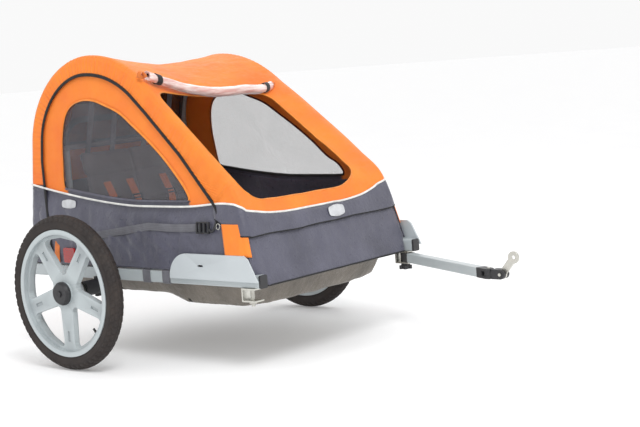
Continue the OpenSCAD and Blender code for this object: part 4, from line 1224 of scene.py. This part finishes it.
def pad(name, outline, half, grooves, mat, tucked, limit):
    """Stuffed pad: a prism from a side outline, blown up by cloth simulation, then sewn through."""
    n = len(outline)
    bm = bmesh.new()
    cy = sum(p[0] for p in outline) / n
    cz = sum(p[1] for p in outline) / n
    left = [bm.verts.new(world((-half + 6, lerp(cy, y, 0.94), lerp(cz, z, 0.9)))) for y, z in outline]
    righty = [bm.verts.new(world((half - 6, lerp(cy, y, 0.94), lerp(cz, z, 0.9)))) for y, z in outline]
    bm.faces.new(left)
    bm.faces.new(righty[::-1])
    for k in range(n):
        bm.faces.new((left[k], left[(k + 1) % n], righty[(k + 1) % n], righty[k]))
    bmesh.ops.recalc_face_normals(bm, faces=bm.faces)
    me = bpy.data.meshes.new(name)
    bm.to_mesh(me)
    bm.free()
    obj = add_object(name, me)
    m = obj.modifiers.new("voxels", "REMESH")
    m.mode = "VOXEL"
    m.voxel_size = PAD_VOXEL * 1
    m.use_smooth_shade = True
    bake(obj)
    m = obj.modifiers.new("even", "SMOOTH")
    m.iterations = 6
    m.factor = 0.5
    bake(obj)
    start = [v.co.copy() for v in obj.data.vertices]
    cloth = obj.modifiers.new("cloth", "CLOTH")
    cloth.settings.use_pressure = True
    cloth.settings.uniform_pressure_force = 4
    cloth.settings.effector_weights.gravity = 0
    cloth.settings.quality = 4
    cloth.collision_settings.use_collision = False
    scene = bpy.context.scene
    for f in range(1, 21):
        scene.frame_set(f)
    dg = bpy.context.evaluated_depsgraph_get()
    grown = obj.evaluated_get(dg).to_mesh()
    moved = [v.co.copy() for v in grown.vertices]
    obj.evaluated_get(dg).to_mesh_clear()
    obj.modifiers.clear()
    scene.frame_set(1)
    capped = []
    for a, b in zip(start, moved):
        d = b - a
        if d.length > limit / 1000:
            d *= limit / 1000 / d.length
        capped.extend(a + d)
    obj.data.vertices.foreach_set("co", capped)
    obj.data.update()
    m = obj.modifiers.new("even", "SMOOTH")
    m.iterations = 3
    m.factor = 0.5
    m = obj.modifiers.new("finer", "SUBSURF")
    m.levels = m.render_levels = 1
    bake(obj)
    me = obj.data
    normals = [v.normal.copy() for v in me.vertices]
    places = [v.co.copy() for v in me.vertices]
    flat_places = []
    for co, normal in zip(places, normals):
        p = Vector((co.x * 1000, co.y * 1000 - SHIFT, co.z * 1000))
        w = 0.9 * wob(p.x / 26, p.y / 26, p.z / 26) + 0.5 * wob(p.x / 9, p.y / 9, p.z / 9)
        for where, width, depth in grooves:
            w -= depth * math.exp(-(where(p) / width) ** 2)
        p += normal * w
        flat_places.extend(world(tucked(p) if tucked else p))
    me.vertices.foreach_set("co", flat_places)
    me.update()
    me.materials.clear()
    me.materials.append(MATS[mat])
    me.polygons.foreach_set("use_smooth", [True] * len(me.polygons))
    return obj


def seat_uv_free(name, colour, shade):
    """Cloth for remeshed pads: its weave comes from object space."""
    n = Nodes(name)
    scale = WAVE_UNIT / 0.0012
    weave = n.math("MULTIPLY", n.wave(scale, "X", space="Object"), n.wave(scale, "DIAGONAL", space="Object"))
    tone = n.noise(10, 4)
    base = n.blend(n.span(tone, 0, 1), colour, shade)
    gap = tuple(c * 0.45 for c in shade[:3]) + (1,)
    n.put("Base Color", n.blend(n.span(weave, 0.22, 0, 0, 1), base, gap))
    n.put("Roughness", n.span(n.noise(60, 3), 0.6, 0.8))
    n.put("Sheen Weight", 0.3)
    n.bumps([(n.noise(45, 5, 0.6), 0.002, 0.5), (weave, 0.00015, 0.5)])
    return n.mat


MATS["pad_grey"] = seat_uv_free("grey seat padding", lin(122, 118, 120), lin(100, 96, 100))
cushion_outline = [(-60, 238), (-66, 262), (-44, 297), (60, 298), (160, 292), (182, 282), (182, 242)]
seat_grooves = [
    (lambda p: p.x if p.z > 262 else 99, 5, 9),
    (lambda p: p.y - 48 if p.z > 275 else 99, 4, 6),
    (lambda p: abs(p.x) - 196 if p.z > 262 else 99, 4, 4),
    (lambda p: p.z - 262 if p.y < -40 else 99, 4, 4),
]
seat = pad("seat_cushion_pad", cushion_outline, 215, seat_grooves, "pad_grey",
           lambda p: (p.x, p.y, max(p.z, 236.5)), 9)
settle(seat, "cloth_seat", "seat_cushion")
BACK_FOOT, BACK_HEAD = (168, 302), (236, 548)
bd = Vector((0, BACK_HEAD[0] - BACK_FOOT[0], BACK_HEAD[1] - BACK_FOOT[1]))
bn = Vector((0, -bd.z, bd.y)).normalized()
back_outline = []
for k in range(9):
    f = k / 8
    back_outline.append((BACK_FOOT[0] + bd.y * f, BACK_FOOT[1] + bd.z * f))
back_outline += [(y + 21 * -bn.y, z + 21 * -bn.z) for y, z in back_outline[::-1]]
back_grooves = [
    (lambda p: p.x, 5, 6),
    (lambda p: p.z - 380, 4, 4), (lambda p: p.z - 465, 4, 4),
    (lambda p: abs(p.x) - 172, 4, 3), (lambda p: p.z - 536, 4, 3),
]
back = pad("seat_back_pad", back_outline, 185, back_grooves, "pad_grey", None, 6)
settle(back, "cloth_seat", "seat_back")

# straps from the seat back to the roof, and the net behind them
STRAP_HEAD = (196, 688)
heads = []
for x in SEAT_XS:
    for k in (-1, 1):
        a = Vector((x + k * 45, BACK_HEAD[0] + 2, BACK_HEAD[1] - 30))
        b = Vector((x + k * 43, STRAP_HEAD[0], STRAP_HEAD[1]))
        path = [tuple(a.lerp(b, f / 14) + Vector((0, -1.5 * math.sin(math.pi * f / 14), 0)))
                for f in range(15)]
        heads.append(sweep("h", path, "webbing", 20, 1.8, side=(1, 0, 0)))
head = join("head_straps_webbing", heads)
settle(head, "webbing", "head_straps")
net_rows = []
for i in range(21):
    f = i / 20
    y, z = lerp(BACK_HEAD[0] + 12, 190, f), lerp(552, 704, f)
    half = lerp(222, 205, f)
    row = []
    for j in range(31):
        sag = 5 * f * math.sin(math.pi * j / 30)
        row.append((lerp(-half, half, j / 30), y + 3 * wob(j / 5, i / 5), z - sag))
    net_rows.append(row)
rear_net = thicken(grid("rear_net", net_rows, "net_black"), 0.5)
settle(rear_net, "mesh")
net_band = sweep("rear_net_band", resample(net_rows[0], 8), "cloth_seat", 22, 1.6, side=(0, 0, 1))
settle(net_band, "cloth_seat")
net_top = sweep("rear_net_top", resample(net_rows[-1], 8), "webbing_orange", 26, 1.6, side=(0, 0.2, 1))
settle(net_top, "cloth_orange")

# harness: shoulder straps, lap straps and crotch straps with adjusters and buckles
straps, hard = [], []
for x in SEAT_XS:
    for k in (-1, 1):
        head_end = Vector((x + k * 42, BACK_HEAD[0] - 36, BACK_HEAD[1] - 16))
        a = head_end.lerp(Vector((x + k * 41, 128, 330)), 0.42)
        b = Vector((x + k * 40, 128, 330))
        c = Vector((x + k * 16, 100, 314))
        mid = (a + b) / 2 + Vector((0, -10, 0))
        path = curve_through([tuple(a), tuple(mid), tuple(b), tuple(c)], per=9)
        straps.append(sweep("s", path, "webbing_orange", 26, 2.2, side=(1, 0, 0.1)))
        q = a.lerp(mid, 0.9) + Vector((0, -3, 0))
        turn = Matrix.Rotation(math.atan2(bd.y, bd.z) * -1, 3, "X")
        for dz in (-10, 0, 10):
            at = tuple(q + Vector((0, dz * -0.28, dz)))
            hard.append(rounded_box("adj", (34, 4, 4), "black_plastic", at, turn, r=1.2, seg=2))
        for dx in (-15.5, 15.5):
            at = tuple(q + Vector((dx, 0, 0)))
            hard.append(rounded_box("adj", (4, 4, 26), "black_plastic", at, turn, r=1.2, seg=2))
        lap = curve_through([(x + k * 96, 150, 304), (x + k * 70, 126, 309), (x + k * 40, 108, 312),
                             (x + k * 20, 104, 311)], per=6)
        straps.append(sweep("s", lap, "webbing_orange", 24, 2.0, side=(0, 1, 0.2)))
    crotch = curve_through([(x, 20, 303), (x, 40, 306), (x, 70, 312), (x, 92, 312)], per=6)
    straps.append(sweep("s", crotch, "webbing_orange", 24, 2.0, side=(1, 0, 0)))
    for size, at, r in (((44, 30, 12), (x, 106, 317), 4), ((30, 16, 13.4), (x, 88, 316), 4),
                        ((8, 22, 13.5), (x - 15, 110, 317), 2), ((8, 22, 13.5), (x + 15, 110, 317), 2)):
        hard.append(rounded_box("buckle", size, "black_plastic", at, None, r=r, seg=3))
harness = join("harness_webbing", straps)
settle(harness, "cloth_orange", "harness_straps")
buckles = join("harness_hardware", hard)
settle(buckles, "black_plastic", "harness_buckles")

# ---------------------------------------------------------------- belly sling
TUB_X, TUB_FRONT, TUB_REAR = 288, -468, 278


def tub_depth(y):
    """Height of the sling's lowest line at y."""
    front = smooth((y - TUB_FRONT) / 56)
    rear = smooth((TUB_REAR - y) / 44)
    deep = lerp(143, 167, smooth((y + 235) / 90))
    return lerp(214, lerp(226, deep, front), rear)


tub_rows = []
for i in range(97):
    y = lerp(TUB_FRONT, TUB_REAR, i / 96)
    z0 = tub_depth(y)
    row = []
    for j in range(61):
        c = lerp(-1, 1, j / 60)
        x = TUB_X * math.copysign(min(1, abs(c) ** 0.92), c)
        a = abs(x) / TUB_X
        rim = 234 if abs(y) < 440 else 232
        curve = 0.16 * a ** 4
        z = z0 + (rim - z0) * min(1, curve + (1 - curve) * max(0, (a - 0.88) / 0.12) ** 1.5)
        seam = 4 * math.exp(-((y + 236) / 6) ** 2) * (1 - a ** 8)
        z += seam + (2.4 * wob(x / 45, y / 30) + 1.2 * wob(x / 24, y / 11)) * (1 - a ** 6)
        row.append((x * (1 if a > 0.99 else 0.998), y, z))
    tub_rows.append(row)
belly = thicken(grid("belly_sling", tub_rows, "cloth_floor"), 1.6)
settle(belly, "cloth_floor", "floor_tub")
for k, y in enumerate((-236, 20)):
    i = min(range(97), key=lambda q: abs(tub_rows[q][30][1] - y))
    seam_path = [(p[0], p[1], p[2] - 1.6) for p in tub_rows[i][3:-3]]
    seam = sweep("belly_seam_%d" % k, resample(seam_path, 8), "elastic", 9, 1.6, side=(0, 1, 0))
    settle(seam, "elastic")

# ---------------------------------------------------------------- tyres
TYRE_MID, TYRE_SEC = 177, 23
WHEEL_X, WHEEL_Z = 460, 200


def tyre_mesh(name, side):
    steps = 480
    prof = [rad(a) for a in list(range(-128, -70, 7)) + list(range(-70, 71, 5)) + list(range(77, 129, 7))]
    verts, faces = [], []
    for i in range(steps):
        ang = 2 * math.pi * i / steps
        for ph in prof:
            deg = math.degrees(ph)
            r = TYRE_SEC - 2.4
            tread = abs(deg) < 68
            if tread:
                phase = (ang * 64 / (2 * math.pi) + (0.5 if deg > 0 else 0) + abs(deg) / 160) % 1
                if abs(deg) < 9:
                    r += 2.2 if (phase * 2 % 1) < 0.86 else 1.0
                elif abs(deg) < 14:
                    r += 0.5
                elif abs(deg) < 38:
                    r += 2.2 if 0.12 < phase < 0.86 else 0.3
                elif abs(deg) < 43:
                    r += 0.9 if 0.2 < phase < 0.8 else 0.2
                else:
                    r += 2.2 if 0.3 < (phase + 0.35) % 1 < 0.92 else 0.2
            elif 74 < abs(deg) < 82:
                r += 1.1
            elif 100 < abs(deg) < 108:
                r += 0.8
            rr = TYRE_MID + r * math.cos(ph)
            x = side * WHEEL_X + r * math.sin(ph)
            verts.append((x, rr * math.sin(ang), WHEEL_Z + rr * math.cos(ang)))
        for x, rr in ((17.0, 163.0), (8, 161.5), (-8, 161.5), (-17.0, 163.0)):
            verts.append((side * WHEEL_X + x, rr * math.sin(ang), WHEEL_Z + rr * math.cos(ang)))
    n = len(prof) + 4
    for i in range(steps):
        j = (i + 1) % steps
        for k in range(n):
            l = (k + 1) % n
            faces.append((i * n + k, i * n + l, j * n + l, j * n + k))
    obj = make(name, verts, faces, None, "tyre")
    return face_outwards(obj)


for side in (-1, 1):
    tyre = tyre_mesh("tyre_treaded_" + names[side], side)
    settle(tyre, "tyre", "tyre_" + names[side], body=names[side] + "_wheel", fold=False)

# ---------------------------------------------------------------- straps and marks on the sides
LOCK_Y, LOCK_Z = -362, 352
STRAP_OUT = 19.5
PATCH_Y, PATCH_Z = 150, 404
PATCH_HALF_Y, PATCH_HALF_Z = 28, 12
TAPE_Y = 198
RAIL_X, RAIL_Z = 303, 226
LOOP_YS = (-144, -216)
FRONT_PATCH_X, FRONT_PATCH_Z = 40, 354
for side in (-1, 1):
    def on_wall(y, z, lift=0.0, side=side):
        return leaned(side, (y, z), STRAP_OUT + lift)

    pts = [on_wall(lerp(70, -150, f / 12), lerp(318, 349, f / 12), 1.2 * math.sin(f)) for f in range(13)]
    pts += [on_wall(lerp(-150, LOCK_Y + 12, f / 12), 352 - 3 * math.sin(math.pi * f / 12), 1.5)
            for f in range(1, 13)]
    band = sweep("tension_strap_" + names[side], resample(pts, 8), "webbing", 20, 1.8, side=(0, 0.1, 1))
    settle(band, "webbing", *on_right(side, "tension_straps"))
    blocks = []
    c = on_wall(LOCK_Y, LOCK_Z, 4)
    turn = Matrix.Rotation(side * -LEAN, 3, "Y")
    for size, dy, dz, dx in (((7, 4, 30), -20, 0, 0), ((7, 4, 30), 20, 0, 0), ((7, 40, 4), 0, 13, 0),
                             ((7, 40, 4), 0, -13, 0), ((8, 6, 26), -6, 0, 0.5), ((8, 6, 26), 8, 0, 0.5)):
        at = (c[0] + side * dx, c[1] + dy, c[2] + dz)
        blocks.append(rounded_box("lock", size, "black_plastic", at, turn, r=1.4, seg=2))
    hook = curve_through([on_wall(-404, 366, 1), on_wall(-400, 350, 3), on_wall(-392, 343, 4),
                          on_wall(-384, 348, 4)], per=5)
    blocks.append(sweep("hook", hook, "black_plastic", 6, 6, n=10))
    eye = [on_wall(-412 + 6 * math.cos(q * math.pi / 8), 356 + 7 * math.sin(q * math.pi / 8), 1.5)
           for q in range(16)]
    blocks.append(sweep("eye", eye, "zinc", 2.4, 2.4, closed=True, n=8))
    lock = join("strap_lock_" + names[side], blocks)
    settle(lock, "black_plastic", *on_right(side, "strap_locks"))
    # plain reflective patch, sewn on
    patch_rows = []
    for i in range(9):
        row = []
        for j in range(17):
            a, b = lerp(-1, 1, j / 16), lerp(-1, 1, i / 8)
            squash_x = math.sqrt(max(0.05, 1 - abs(b) ** 5))
            lift = WALL_OUT + 3.6 + 2.2 - 0.5 * (a * a + b * b)
            place = (PATCH_Y + a * PATCH_HALF_Y * squash_x, PATCH_Z + b * PATCH_HALF_Z)
            row.append(leaned(side, place, lift))
        patch_rows.append(row)
    patch = thicken(grid("patch_" + names[side], patch_rows, "patch"), 1.0)
    settle(patch, "patch", *on_right(side, "reflective_patches"))
    # upright orange webbing behind the reflector
    tape = [leaned(side, (TAPE_Y, z), 15.4 + 2.5 * math.sin((z - 246) / 60 * math.pi))
            for z in range(246, 310, 6)]
    tape = sweep("rear_tape_" + names[side], tape, "webbing_orange", 20, 2, side=(0, 1, 0))
    settle(tape, "cloth_orange")
    # orange corner panel from under the front flap to behind the guard
    rows = []
    for i in range(17):
        f = i / 16
        row = []
        z = lerp(362, 284, f)
        turn = rad(62)
        corner_y = front_column(side, 0, z, 2)[1]
        for j in range(19):
            g = j / 18
            if g < 0.7:
                y = lerp(lerp(-424, -437, f) + NEST[side], corner_y, g / 0.7)
                out_by = R_COVER + 7 + 0.9 * wob(g * 3, f * 3, side) * math.sin(math.pi * g / 0.7)
                row.append(leaned(side, (y, z), out_by))
            else:
                row.append(front_column(side, turn * (g - 0.7) / 0.3, z, 2))
        rows.append(row)
    corner = thicken(grid("corner_panel_" + names[side], rows, "cloth_orange"), 1.2)
    settle(corner, "cloth_orange")
    # webbing loops round the rail
    for k, y in enumerate(LOOP_YS):
        hx, hz = 12.5 + 1.3, 16 + 1.3
        loop = []
        for q in range(40):
            a = 2 * math.pi * q / 40
            cx, cz = math.cos(a), math.sin(a)
            across = side * RAIL_X + hx * math.copysign(abs(cx) ** 0.28, cx)
            loop.append((across, y, RAIL_Z + hz * math.copysign(abs(cz) ** 0.28, cz)))
        loop = sweep("rail_loop_%s_%d" % (names[side], k), loop, "webbing", 28, 1.8,
                     side=(0, 1, 0), closed=True)
        settle(loop, "webbing", *(["rail_loops"] if side < 0 and k == 0 else []), fold=False)

rows = []
for i in range(9):
    row = []
    for j in range(17):
        a, b = lerp(-1, 1, j / 16), lerp(-1, 1, i / 8)
        sx = math.sqrt(max(0.05, 1 - abs(b) ** 5))
        x = FRONT_PATCH_X + a * 32 * sx
        z = FRONT_PATCH_Z + b * 15
        p = front_column(-1, rad(90), z, 6)
        q = front_column(1, rad(90), z, 6)
        m = mix(p, q, (x + 300) / 600)
        rows_y = m[1] - 5.0
        row.append((x, rows_y - 0.5 * (1 - a * a), z))
    rows.append(row)
front_patch = thicken(grid("patch_front", rows, "patch"), 1.0)
settle(front_patch, "patch")

# ---------------------------------------------------------------- floor and light
bm = bmesh.new()
bmesh.ops.create_circle(bm, cap_ends=True, segments=96, radius=40)
floor_mesh = bpy.data.meshes.new("floor")
bm.to_mesh(floor_mesh)
bm.free()
floor = bpy.data.objects.new("floor", floor_mesh)
bpy.context.scene.collection.objects.link(floor)
n = Nodes("pale floor")
n.put("Base Color", n.blend(n.span(n.noise(3, 3), 0, 1), lin(240, 240, 240), lin(236, 236, 237)))
n.put("Roughness", 0.9)
n.put("Emission Color", (1, 1, 1, 1))
n.put("Emission Strength", 0.16)
floor_mesh.materials.append(n.mat)

scene_world = bpy.data.worlds.new("studio")
scene_world.use_nodes = True
background = scene_world.node_tree.nodes["Background"]
background.inputs["Color"].default_value = (1, 1, 1, 1)
background.inputs["Strength"].default_value = 0.95
bpy.context.scene.world = scene_world


def soft_light(name, place, aim, size, power):
    data = bpy.data.lights.new(name, "AREA")
    data.shape = "DISK"
    data.size = size
    data.energy = power
    obj = bpy.data.objects.new(name, data)
    obj.location = place
    obj.rotation_euler = (Vector(aim) - Vector(place)).to_track_quat("-Z", "Y").to_euler()
    bpy.context.scene.collection.objects.link(obj)


soft_light("key", (-1.6, -2.2, 3.4), (0, 0, 0.4), 1.6, 70)
soft_light("fill", (2.6, 1.8, 2.6), (0, 0, 0.4), 2.2, 18)
bpy.context.scene.view_settings.view_transform = "Standard"
